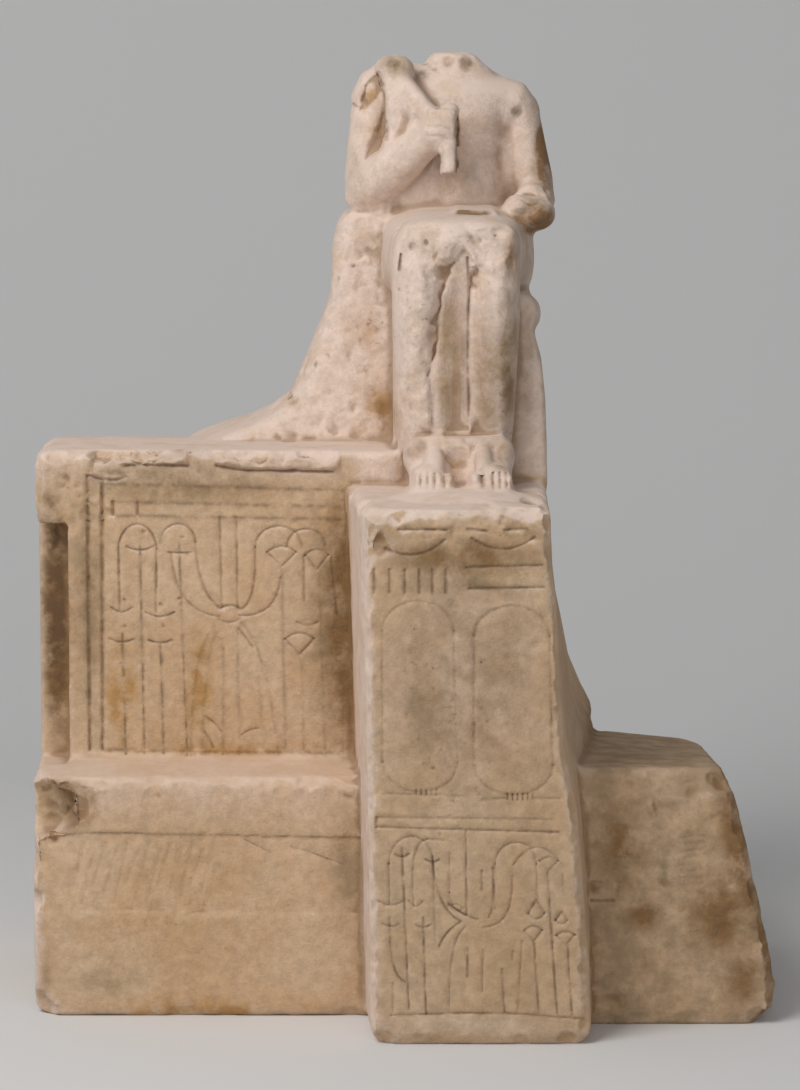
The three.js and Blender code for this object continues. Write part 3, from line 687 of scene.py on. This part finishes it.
# Broken stone: the box it lies in, left to right, front to back and bottom to top, then how many
# flakes were struck off it, their reach, their depth as a share of that, and how much they tilt.
BREAKS = [
    ((-4, 108), (-140, -50), (742, 802), 260, (3, 14), 0.06, 0.12),
    ((0, 42), (-100, -30), (596, 742), 220, (2.5, 12), 0.07, 0.16),
    ((70, 108), (-100, -30), (640, 742), 50, (2.5, 8), 0.05, 0.15),
    ((106, 150), (20, 110), (806, 832), 70, (3, 10), 0.1, 0.3),
    ((-60, -36), (70, 160), (880, 950), 60, (2.5, 8), 0.08, 0.2),
    ((-14, 100), (90, 200), (955, 975), 60, (3, 9), 0.08, 0.2),
    ((-260, -22), (20, 215), (575, 800), 1400, (2.5, 12), 0.06, 0.13),
    ((186, 380), (-160, 230), (12, 290), 900, (4, 24), 0.04, 0.1),
    ((-50, 150), (-232, -212), (508, 545), 240, (2.5, 12), 0.07, 0.18),
    ((-380, -50), (-40, 10), (568, 590), 240, (3, 12), 0.1, 0.25),
    ((-380, -300), (-115, 40), (490, 570), 130, (3, 14), 0.09, 0.2),
    ((-380, -40), (-115, -60), (232, 262), 160, (3, 11), 0.07, 0.2),
    ((-380, -318), (-115, -60), (150, 245), 110, (3, 14), 0.06, 0.14),
    ((-50, -24), (-232, -190), (20, 508), 170, (3, 12), 0.09, 0.2),
    ((-34, 178), (-232, -228), (16, 505), 260, (3, 15), 0.03, 0.04),
    ((-325, -62), (-34, -28), (252, 562), 200, (3, 14), 0.03, 0.04),
    ((-372, -46), (-112, -105), (14, 235), 260, (3, 18), 0.03, 0.05),
]


def strike(skin, tree, index, reach, depth, along):
    """Takes off what stands above one flat facet round a point of the surface."""
    centre = skin.at[index]
    near = np.array([found[1] for found in tree.find_range(centre, reach)], int)
    height = (skin.at[near] - centre) @ along
    fade = 1 - smoothly(np.linalg.norm(skin.at[near] - centre, axis=1) / reach, 0.45, 1)
    skin.at[near] -= along * (np.clip(height + depth, 0, None) * fade)[:, None]


def point_tree(skin):
    tree = kdtree.KDTree(len(skin.at))
    for index, point in enumerate(skin.at):
        tree.insert(point, index)
    tree.balance()
    return tree


def strike_flakes(skin):
    """The broken stone: a rough grain, and flat flakes at chance angles with ridges between them."""
    grain = 0.4 * rubble(skin.at, 7, 61, 2)
    tree = point_tree(skin)
    rng = np.random.default_rng(7)
    z = skin.at[:, 2]
    for *spans, count, reaches, share, tilt in BREAKS:
        within = [(axis > low) & (axis < high) for axis, (low, high) in zip(skin.at.T, spans)]
        turned_away = skin.normal[:, 1] >= 0.6
        low_top = (skin.normal[:, 2] >= 0.85) & (z <= 600)
        inside = np.all(within, axis=0) & ~turned_away & ~low_top
        skin.at[inside] += skin.normal[inside] * grain[inside, None]
        for index in rng.choice(np.flatnonzero(inside), count):
            along = skin.normal[index] + rng.normal(0, tilt, 3)
            reach = reaches[0] * (reaches[1] / reaches[0]) ** rng.random()
            depth = reach * share * rng.uniform(0.3, 1)
            strike(skin, tree, index, reach, depth, along / np.linalg.norm(along))
    skin.write()


def wear_edges(skin):
    """Small chips along the sharp edges, each a flat facet cut off."""
    tree = point_tree(skin)
    rng = np.random.default_rng(3)
    x, y, z = skin.at.T
    slanting = np.abs(skin.normal).max(axis=1) < 0.88
    front_edges = (z > 4) & (z < 545) & (y < 40)
    left_top = (z > 500) & (z < 572) & (x < -40)
    edge = slanting & (front_edges | left_top) & (hollowness(skin, 6) < -0.15)
    chips = 420
    for index in rng.choice(np.flatnonzero(edge), chips):
        reach = rng.uniform(4, 13)
        strike(skin, tree, index, reach, reach * rng.uniform(0.1, 0.24), skin.normal[index].copy())
    skin.write()


def refine_near_lines(skin):
    """Splits the faces close to the lines once, so that a cut has a bottom and two sides."""
    obj = skin.obj
    x, y, z = skin.at.T
    close = np.zeros(len(x), bool)
    for lines, *_, nearest in CUTS:
        for line in lines:
            mark_close(skin, close, line, nearest)
    for line, *_ in FIGURE_LINES:
        mark_close(skin, close, line, BEHIND_FOOTREST)
    grip = (x > 5) & (x < 60) & (z > 840) & (z < 925) & (y < 100)
    toes = (x > 2) & (x < 116) & (z > 536) & (z < 585) & (y < -40) & (y > -160)
    close |= grip | toes
    select_only(obj)
    bpy.context.tool_settings.mesh_select_mode = (False, False, True)
    corner_of = np.empty(len(obj.data.loops), np.int32)
    obj.data.loops.foreach_get("vertex_index", corner_of)
    starts = np.empty(len(obj.data.polygons), np.int32)
    obj.data.polygons.foreach_get("loop_start", starts)
    chosen = np.logical_or.reduceat(close[corner_of], starts)
    obj.data.vertices.foreach_set("select", np.zeros(len(x), bool))
    obj.data.edges.foreach_set("select", np.zeros(len(obj.data.edges), bool))
    obj.data.polygons.foreach_set("select", chosen)
    bpy.ops.object.mode_set(mode="EDIT")
    bpy.ops.mesh.subdivide(number_cuts=1)
    bpy.ops.object.mode_set(mode="OBJECT")
    skin.read()


def mark_close(skin, close, line, nearest):
    chosen = skin.window(line, LINE_REACH, nearest, 26)
    close[chosen[line_distance(skin.at[chosen], line) < LINE_REACH]] = True


def hollowness(skin, rounds):
    """How far each point lies under the smooth surface of its surroundings, in mm."""
    edges = skin.obj.data.edges
    ends = np.empty(len(edges) * 2, np.int32)
    edges.foreach_get("vertices", ends)
    first, second = ends.reshape(-1, 2).T
    count = len(skin.at)
    neighbours = np.bincount(first, minlength=count) + np.bincount(second, minlength=count)
    soft = skin.at.copy()
    for _ in range(rounds):
        sums = [
            np.bincount(first, axis[second], count) + np.bincount(second, axis[first], count)
            for axis in soft.T
        ]
        soft = np.column_stack(sums) / neighbours[:, None]
    return ((soft - skin.at) * skin.normal).sum(axis=1)


def remember(skin, name, values):
    layer = skin.obj.data.attributes.new(name, "FLOAT", "POINT")
    layer.data.foreach_set("value", values.astype(np.float32))


def carve(skin):
    for lines, width, depth, _, nearest in CUTS:
        for line in lines:
            skin.groove(line, width, depth, nearest, layer=8)
    for line, width, depth, _ in FIGURE_LINES:
        skin.groove(line, width, depth, BEHIND_FOOTREST)
    for line, width, height in RIDGES:
        skin.groove(line, width, -height, BEHIND_FOOTREST)
    for nearest, hollows in ALL_HOLLOWS:
        for *shape, _ in hollows:
            skin.hollow(*shape, nearest)
    for place, halves, depth, _ in DENTS:
        skin.dent(place, halves, depth)
    skin.write()


def trim(skin, low, high):
    """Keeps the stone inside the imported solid's box and flat underneath."""
    skin.at = np.clip(skin.at, np.array(low) / MM, np.array(high) / MM)
    skin.at[skin.at[:, 2] < UNDERSIDE, 2] = 0
    skin.write()


def thin_out(skin, dirt):
    """Fewer faces where the stone is flat, and all of them along the dark lines."""
    stone = skin.obj
    away_from_lines = stone.vertex_groups.new(name="away_from_lines")
    away_from_lines.add(np.flatnonzero(dirt < DARK_LINE).tolist(), 1, "REPLACE")
    apply_modifier(stone, "TRIANGULATE")
    ratio = MOST_TRIANGLES / len(stone.data.polygons)
    apply_modifier(stone, "DECIMATE", ratio=ratio, vertex_group=away_from_lines.name)
    skin.read()


# By how near they may lie, stains and some painted light and shade, as marked: the colour, the place, the
# reach across and up, the strength and, if it is turned, the degrees. One stronger than 1 is less broken
# up.
STAINS_AND_PAINTED_LIGHT_AND_SHADE = {
    BEHIND_FOOTREST: [
        # Painted shade: the outer arm's right side, turned away from the light.
        ("grey", 146, 875, 16, 60, 0.9, 8),
        ("grey", 119, 908, 10, 9, 0.9),
        ("grey", 66, 843, 18, 12, 0.35),
        ("grey", 12, 783, 22, 20, 0.35),
        ("grey", 20, 690, 18, 12, 0.5),
        # Painted shade in the recess between the legs.
        ("grey", 48, 660, 20, 115, 0.95),
        ("grey", 104, 660, 20, 125, 1, 2),
        ("grey", 84, 640, 24, 110, 0.75),
        ("grey", -66, 880, 10, 60, 0.6, 8),
        # Painted shade: the broken forearm's shaded face and underside.
        ("grey", 138, 806, 32, 20, 1),
        ("grey", -50, 850, 12, 40, 0.6),
        ("grey", -8, 958, 28, 20, 0.9),
        ("grey", 124, 660, 14, 100, 0.6),
        ("brown", 107, 650, 10, 110, 0.75, 2),
        # Painted shade on the kilt's right side by the knee.
        ("brown", 107, 775, 9, 42, 0.9),
        # Painted shade on the outer arm's right side.
        ("brown", 146, 866, 16, 60, 0.9, 8),
        # Painted shade under and right of the broken forearm.
        ("brown", 132, 806, 24, 20, 1.6),
        ("brown", 131, 818, 18, 11, 0.9),
        # Painted shadow along the fist's right edge.
        ("brown", 55, 892, 3.5, 24, 0.7),
        ("brown", 36, 858, 3, 13, 0.8),
        ("brown", 54, 856, 3, 13, 0.8),
        ("brown", 46, 846, 9, 4, 0.7),
        # Painted shadow right of the raised band on the chest.
        ("brown", 22, 932, 5, 26, 0.4, -38),
        ("brown", 82, 640, 24, 105, 0.35),
        ("brown", 52, 568, 15, 18, 0.35),
        # Painted shadow along the recess's edge by the leg on the right.
        ("brown", 60, 660, 6, 100, 0.55),
        # Painted shade in the hollows under the hem beside the ankles.
        ("brown", 14, 577, 12, 11, 0.7),
        ("brown", 98, 572, 15, 15, 0.8),
        # Painted shade under the broken forearm's right end.
        ("brown", 152, 800, 8, 20, 0.8),
        ("ochre", -35, 928, 13, 26, 1, 30),
        ("ochre", -28, 884, 13, 30, 0.9, 14),
        ("brown", -27, 940, 5, 12, 0.5, -30),
        ("brown", 40, 868, 3, 16, 0.7),
        ("brown", 54, 866, 3, 16, 0.8),
        ("ochre", -40, 780, 18, 20, 0.4),
        ("ochre", -24, 604, 32, 42, 0.8),
        ("brown", -20, 604, 20, 34, 0.5),
        ("ochre", -36, 690, 18, 40, 0.45),
        ("ochre", -116, 611, 18, 14, 0.4, 35),
        ("ochre", -4, 555, 8, 16, 0.7),
        ("ochre", 52, 566, 16, 22, 0.6),
        ("ochre", 45, 660, 18, 110, 0.8),
        ("spots", -30, 660, 46, 110, 0.9),
        ("spots", -100, 620, 40, 50, 0.5),
        ("spots", 104, 640, 16, 120, 1),
        ("spots", 15, 700, 22, 70, 0.9),
        ("spots", 40, 785, 60, 26, 0.5),
        ("spots", 150, 880, 12, 40, 0.6),
    ],
    BEHIND_LEDGE: [
        # The rebate at the left end: brown patina together with painted shade, and painted shadow at its
        # top under the overhang.
        ("brown", -360, 372, 20, 140, 1.5),
        ("brown", -360, 480, 19, 30, 1),
        # The panel's right end by the footrest: stain together with painted shade from the footrest.
        ("brown", -58, 400, 34, 180, 1.5),
        ("brown", -200, 528, 150, 14, 0.4),
        ("brown", -322, 400, 14, 170, 0.4),
        # The rebate again: dirt together with painted shade.
        ("dirt", -360, 400, 22, 190, 1.2),
        # The panel's right end again: ochre stain together with painted shade.
        ("ochre", -64, 400, 40, 180, 1),
        ("ochre", -290, 318, 24, 76, 1.7),
        ("ochre", -212, 330, 24, 76, 1.4),
        ("ochre", -190, 262, 150, 12, 0.9),
        ("spots", -230, 564, 150, 14, 1),
        ("brown", -225, 570, 16, 8, 0.7),
        ("brown", -255, 566, 30, 5, 0.4),
        ("brown", -120, 562, 50, 5, 0.35),
        # The rebate again: ochre stain together with painted shade.
        ("ochre", -350, 390, 24, 170, 0.9),
        # The panel's right end again: grey stain together with painted shade.
        ("grey", -70, 400, 46, 175, 1),
        ("grey", -230, 540, 140, 36, 0.9),
        ("grey", -326, 420, 26, 170, 0.9),
        # The rebate again: grey stain together with painted shade.
        ("grey", -362, 400, 20, 180, 1),
        ("spots", -330, 540, 45, 30, 0.8),
        ("spots", -200, 550, 130, 20, 0.6),
        ("spots", -335, 380, 18, 130, 0.6),
    ],
    ANYWHERE: [
        ("ochre", -200, 6, 190, 26, 1),
        ("ochre", -200, 100, 190, 90, 0.3),
        ("grey", -300, 36, 56, 22, 0.7),
        # The ledge's right end by the footrest: grey stain together with painted shade.
        ("grey", -58, 150, 26, 80, 0.8),
        ("brown", -364, 60, 12, 70, 0.6),
        # Painted shade in the chip at the ledge's left end.
        ("grey", -350, 208, 34, 28, 0.9),
        ("ochre", -210, 150, 150, 34, 0.4),
        ("ochre", 230, 20, 90, 24, 0.5),
        ("ochre", 60, 30, 110, 46, 0.2),
        ("grey", 20, 350, 44, 120, 0.75),
        ("grey", 60, 488, 120, 40, 1),
        ("grey", 60, 464, 120, 26, 0.9),
        ("brown", 60, 490, 110, 30, 1),
        ("pale", 60, 370, 120, 170, 0.35),
        ("brown", 60, 360, 120, 160, 0.45),
        # Painted light: the footrest's front is lightened along its foot, against the shade near the floor.
        ("pale", 60, 22, 130, 16, 0.5),
        ("brown", 15, 350, 36, 90, 0.2),
        ("grey", 105, 380, 50, 130, 0.5),
        ("grey", 240, 250, 60, 16, 0.8),
        ("grey", 262, 158, 18, 60, 1),
        ("brown", 222, 182, 34, 88, 1),
        ("brown", 241, 114, 26, 28, 1.2),
        ("grey", 318, 110, 56, 66, 1),
        ("brown", 318, 112, 54, 68, 1.1),
        ("brown", 344, 50, 34, 48, 0.9),
        ("brown", 338, 172, 20, 120, 1.4, -14),
        ("grey", 345, 130, 40, 130, 0.9, -10),
        ("spots", 20, 350, 46, 110, 1),
        ("spots", 60, 300, 110, 220, 0.5),
        ("spots", 60, 516, 110, 30, 0.7),
        ("spots", 280, 130, 110, 140, 0.7),
        ("spots", -220, 130, 180, 120, 0.3),
    ],
}


def paint(skin):
    """Where dirt, ochre, brown, pale stone and painted light and shade lie, as values on the points. Gives
    the dirt, which in the rebate and along one figure line is painted shade too.
    """
    x, y, z = skin.at.T
    across, away, up = skin.normal.T
    layers = {name: np.zeros(len(x)) for name in ("dirt", "ochre", "grey", "brown", "pale", "spots")}
    for lines, width, _, amount, nearest in CUTS:
        for line in lines:
            paint_line(skin, layers["dirt"], line, width * 0.5, amount, nearest)
    for line, width, _, amount in FIGURE_LINES:
        paint_line(skin, layers["dirt"], line, width * 0.55, amount, BEHIND_FOOTREST)
    for nearest, hollows in ALL_HOLLOWS:
        for *spot, _, turn, amount in hollows:
            paint_spot(skin, layers["dirt"], nearest, 0.7, *spot, 0.7 * amount, turn)
    for nearest, stain_and_shade_rows in STAINS_AND_PAINTED_LIGHT_AND_SHADE.items():
        for name, *spot in stain_and_shade_rows:
            paint_spot(skin, layers[name], nearest, 1, *spot)
    for place, halves, _, amount in DENTS:
        overlay(layers["brown"], amount * smoothly(skin.nearness(place, halves), 0, 0.4))
    # The right base low down and the footrest's front are darker grey. Painted shade: the throne's right
    # side and the right base's right-facing sides are darkened, as they face away from the light.
    right_base = smoothly(x, 168, 205)
    overlay(layers["grey"], 0.62 * right_base * smoothly(-z, -300, -270))
    overlay(layers["grey"], 0.3 * smoothly(-y, 215, 226) * smoothly(-away, 0.3, 0.8))
    overlay(layers["grey"], 0.4 * smoothly(across, 0.3, 0.9) * smoothly(z, 545, 590) * smoothly(x, 80, 100))
    # Painted shade on the right base's right-facing sides.
    shaded_right_side = 0.8 * smoothly(across, 0.25, 0.7) * smoothly(x, 180, 240)
    overlay(layers["brown"], shaded_right_side * smoothly(-z, -290, -250))
    # Painted light: what looks up and what faces left at the front are painted paler, as the light falls on
    # them from above and from the left. The figure with the broken slope and the ledge's upper front are
    # paler stone.
    tops = smoothly(up, 0.2, 0.8)
    overlay(layers["pale"], tops * (0.45 + 0.55 * smoothly(z, 300, 480)) * (1 - 0.8 * right_base))
    cornice = smoothly(-x, 44, 56) * smoothly(-away, 0.4, 0.8) * smoothly(-z, -582, -572)
    overlay(layers["pale"], smoothly(z, 536, 546) * smoothly(y, -160, -150) * (1 - 0.8 * cornice))
    overlay(layers["pale"], 0.25 * smoothly(-y, 90, 105) * smoothly(-x, 30, 44) * smoothly(z, 185, 235))
    overlay(layers["pale"], 0.9 * smoothly(-across, 0.4, 0.8) * smoothly(-y, 45, 70))
    layers["worn"] = np.maximum(tops, 0.7 * smoothly(away, -0.8, -0.3))
    for name, values in layers.items():
        remember(skin, name, values)
    return layers["dirt"]


def overlay(layer, values):
    np.maximum(layer, values, out=layer)


def paint_line(skin, layer, line, reach, amount, nearest):
    chosen = skin.window(line, reach, nearest, 30)
    gap = line_distance(skin.at[chosen], line) / reach
    layer[chosen] = np.maximum(layer[chosen], amount * np.clip(1.3 - gap, 0, 1))


def paint_spot(skin, layer, nearest, soft, x, z, across, up, amount, turn=0):
    tilted = abs(math.sin(math.radians(turn)))
    margin = (across + tilted * up, up + tilted * across)
    chosen = skin.window([(x, z)], margin, nearest, 0)
    fade = smoothly(1 - skin.reach(chosen, x, z, across, up, turn), 0, soft)
    layer[chosen] = np.maximum(layer[chosen], amount * fade)


class Nodes:
    """A short way to put nodes down and join them."""

    def __init__(self, tree):
        self.tree = tree

    def add(self, kind, values=None, **settings):
        node = self.tree.nodes.new(kind)
        for name, value in settings.items():
            setattr(node, name, value)
        for name, value in (values or {}).items():
            self.give(node.inputs[name], value)
        return node

    def give(self, socket, value):
        if isinstance(value, bpy.types.NodeSocket):
            self.tree.links.new(value, socket)
        else:
            socket.default_value = value

    def value(self, name):
        return self.add("ShaderNodeAttribute", attribute_name=name).outputs["Fac"]

    def noise(self, place, scale, detail=4, roughness=0.6):
        inputs = {"Vector": place, "Scale": scale, "Detail": detail, "Roughness": roughness}
        return self.add("ShaderNodeTexNoise", inputs).outputs["Fac"]

    def between(self, value, low, high, to_low=0, to_high=1):
        inputs = {"Value": value, "From Min": low, "From Max": high, "To Min": to_low, "To Max": to_high}
        return self.add("ShaderNodeMapRange", inputs, interpolation_type="SMOOTHSTEP").outputs["Result"]

    def maths(self, operation, first, second):
        return self.add("ShaderNodeMath", {0: first, 1: second}, operation=operation).outputs[0]

    def mix(self, share, first, second, blend="MIX"):
        node = self.add("ShaderNodeMix", data_type="RGBA", blend_type=blend)
        for number, value in ((0, share), (6, first), (7, second)):
            self.give(node.inputs[number], value)
        return node.outputs[2]


def patchy_group():
    """The amount of a stain, or of painted light or shade, broken up by noise as stain on stone is."""
    group = bpy.data.node_groups.new("Patchy stain, painted light and shade", "ShaderNodeTree")
    kinds = {
        "Place": "NodeSocketVector",
        "Amount": "NodeSocketFloat",
        "Scale": "NodeSocketFloat",
        "Least": "NodeSocketFloat",
    }
    for name, kind in kinds.items():
        group.interface.new_socket(name, in_out="INPUT", socket_type=kind)
    group.interface.new_socket("Patchy amount", in_out="OUTPUT", socket_type="NodeSocketFloat")
    nodes = Nodes(group)
    start = nodes.add("NodeGroupInput")
    cloud = nodes.noise(start.outputs["Place"], start.outputs["Scale"], 6, 0.62)
    broken = nodes.between(cloud, 0.38, 0.6, start.outputs["Least"], 1.2)
    scaled_amount = nodes.maths("MULTIPLY", broken, start.outputs["Amount"])
    nodes.add("NodeGroupOutput", {"Patchy amount": nodes.maths("MINIMUM", scaled_amount, 1)})
    return group


def new_material(name, roughness):
    material = bpy.data.materials.new(name)
    material.use_nodes = True
    surface = material.node_tree.nodes["Principled BSDF"]
    surface.inputs["Roughness"].default_value = roughness
    return material, Nodes(material.node_tree), surface


def limestone():
    material, nodes, surface = new_material("limestone", 0.9)
    place = nodes.add("ShaderNodeTexCoord").outputs["Object"]
    patchy = patchy_group()

    def patchy_amount_of(name, scale, least):
        group = nodes.add("ShaderNodeGroup", node_tree=patchy)
        inputs = {"Place": place, "Amount": nodes.value(name), "Scale": scale, "Least": least}
        for socket, value in inputs.items():
            nodes.give(group.inputs[socket], value)
        return group.outputs["Patchy amount"]

    tan = (0.56, 0.375, 0.225, 1)
    light_tan = (0.61, 0.435, 0.285, 1)
    cream = (0.74, 0.595, 0.505, 1)
    ochre = (0.47, 0.27, 0.11, 1)
    grey = (0.33, 0.235, 0.14, 1)
    brown = (0.235, 0.128, 0.052, 1)
    dark = (0.12, 0.072, 0.04, 1)
    # Painted shade: where the surface lies under its surroundings, in creases and hollows, the colour is
    # darkened towards brown, as shade falls there.
    crease_shade = nodes.between(nodes.value("depth"), 0.35, 2.2)
    ridge = nodes.between(nodes.value("depth"), -0.5, -2)
    clouds = nodes.between(nodes.noise(place, 14, 5), 0.35, 0.65)
    colour = nodes.mix(clouds, tan, light_tan)
    colour = nodes.mix(patchy_amount_of("pale", 26, 0.7), colour, cream)
    colour = nodes.mix(nodes.maths("MULTIPLY", ridge, 0.3), colour, cream)
    colour = nodes.mix(patchy_amount_of("ochre", 30, 0.2), colour, ochre)
    colour = nodes.mix(patchy_amount_of("grey", 34, 0.4), colour, grey)
    colour = nodes.mix(nodes.maths("MULTIPLY", patchy_amount_of("brown", 30, 0.35), 0.9), colour, brown)
    # Painted shade in the creases and hollows.
    colour = nodes.mix(nodes.maths("MULTIPLY", crease_shade, 0.6), colour, brown)
    worn = nodes.value("worn")
    darkest = nodes.between(worn, 0, 1, 0.87, 0.97)
    lightest = nodes.between(worn, 0, 1, 1.09, 1.03)
    mottle = nodes.between(nodes.noise(place, 90, 9, 0.75), 0.34, 0.66, darkest, lightest)
    mottling = nodes.add("ShaderNodeCombineColor", {"Red": mottle, "Green": mottle, "Blue": mottle})
    colour = nodes.mix(1.0, colour, mottling.outputs[0], "MULTIPLY")
    specks = nodes.between(nodes.noise(place, 150, 5, 0.6), 0.58, 0.7)
    spotted = nodes.maths("MULTIPLY", specks, nodes.maths("ADD", patchy_amount_of("spots", 40, 0.2), 0.12))
    colour = nodes.mix(nodes.maths("MULTIPLY", spotted, 0.75), colour, brown)
    colour = nodes.mix(nodes.maths("MULTIPLY", patchy_amount_of("dirt", 60, 0.25), 0.75), colour, dark)
    nodes.give(surface.inputs["Base Color"], colour)
    surface.inputs["Specular IOR Level"].default_value = 0.25
    grain = nodes.maths("ADD", nodes.noise(place, 380, 7, 0.7), nodes.noise(place, 130, 5, 0.65))
    strength = nodes.between(worn, 0, 1, 0.7, 0.12)
    bump = nodes.add("ShaderNodeBump", {"Height": grain, "Strength": strength, "Distance": 0.0014})
    nodes.give(surface.inputs["Normal"], bump.outputs["Normal"])
    return material


def backdrop_material():
    """Plain and pale. The camera looks through its back, so that it hides the stone from no side."""
    material, nodes, surface = new_material("backdrop", 0.95)
    surface.inputs["Base Color"].default_value = (0.72, 0.72, 0.72, 1)
    back = nodes.add("ShaderNodeNewGeometry").outputs["Backfacing"]
    seen = nodes.add("ShaderNodeLightPath").outputs["Is Camera Ray"]
    share = nodes.maths("MULTIPLY", back, seen)
    clear = nodes.add("ShaderNodeBsdfTransparent").outputs["BSDF"]
    mixed = nodes.add("ShaderNodeMixShader", {0: share, 1: surface.outputs["BSDF"], 2: clear})
    nodes.give(material.node_tree.nodes["Material Output"].inputs["Surface"], mixed.outputs["Shader"])
    return material


def backdrop():
    """A pale floor that sweeps up behind the stone."""
    size, back, height, sweep = 16, 2.8, 8, 1.6
    bpy.ops.mesh.primitive_plane_add(size=size)
    floor = bpy.context.object
    floor.name = "floor"
    bpy.ops.object.mode_set(mode="EDIT")
    bpy.ops.mesh.select_all(action="DESELECT")
    bpy.ops.object.mode_set(mode="OBJECT")
    for edge in floor.data.edges:
        ends = [floor.data.vertices[i].co for i in edge.vertices]
        edge.select = all(end.y > 1 for end in ends)
    bpy.ops.object.mode_set(mode="EDIT")
    bpy.context.tool_settings.mesh_select_mode = (False, True, False)
    bpy.ops.transform.translate(value=(0, back - size / 2, 0))
    bpy.ops.mesh.extrude_region_move(TRANSFORM_OT_translate={"value": (0, 0, height)})
    bpy.ops.object.mode_set(mode="OBJECT")
    apply_modifier(floor, "BEVEL", width=sweep, segments=24, limit_method="ANGLE")
    bpy.ops.object.shade_smooth()
    floor.data.materials.append(backdrop_material())


def lamp(name, azimuth, elevation, distance, size, power, colour):
    """A soft square light that looks at the middle of the stone."""
    middle = Vector((0, -0.1, 0.5))
    turn, rise = math.radians(azimuth), math.radians(elevation)
    towards = Vector((math.sin(turn) * math.cos(rise), -math.cos(turn) * math.cos(rise), math.sin(rise)))
    bpy.ops.object.light_add(type="AREA", location=middle + towards * distance)
    light = bpy.context.object
    light.name = name
    light.rotation_euler = towards.to_track_quat("Z", "Y").to_euler()
    light.data.size = size
    light.data.energy = power
    light.data.color = colour


def studio():
    warm = (1, 0.98, 0.96)
    lamp("key", azimuth=-40, elevation=44, distance=3.4, size=1.7, power=76, colour=warm)
    lamp("fill", azimuth=12, elevation=12, distance=4.2, size=3, power=30, colour=warm)
    scene = bpy.context.scene
    scene.world = scene.world or bpy.data.worlds.new("studio")
    scene.world.use_nodes = True
    sky = scene.world.node_tree.nodes["Background"]
    sky.inputs["Color"].default_value = (0.92, 0.93, 0.95, 1)
    sky.inputs["Strength"].default_value = 0.28
    bpy.ops.object.camera_add(location=CAMERA_PLACE, rotation=(math.radians(CAMERA_TILT), 0, 0))
    camera = bpy.context.object
    camera.data.lens = LENS
    scene.camera = camera
    scene.view_settings.view_transform = "Standard"


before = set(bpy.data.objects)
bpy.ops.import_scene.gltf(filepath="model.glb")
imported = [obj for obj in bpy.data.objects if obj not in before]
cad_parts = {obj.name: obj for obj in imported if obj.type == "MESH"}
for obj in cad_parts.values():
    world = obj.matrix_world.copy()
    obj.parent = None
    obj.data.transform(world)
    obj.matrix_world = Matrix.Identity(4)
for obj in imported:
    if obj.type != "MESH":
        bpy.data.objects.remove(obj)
cad_low, cad_high = [list(corner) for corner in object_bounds()]
stone = base_clay(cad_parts["seated_king_statue"])
skin = even_skin(stone)
flatten_faces(skin)
roughen(skin)
strike_flakes(skin)
sculpt_breaks(skin)
wear_edges(skin)
refine_near_lines(skin)
carve(skin)
trim(skin, cad_low, cad_high)
remember(skin, "depth", hollowness(skin, 26))
dirt = paint(skin)
thin_out(skin, dirt)
trim(skin, cad_low, cad_high)
select_only(stone)
bpy.ops.object.shade_smooth()
stone.data.materials.clear()
stone.data.materials.append(limestone())
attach(stone, "root")
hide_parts("seated_king_statue")
backdrop()
studio()
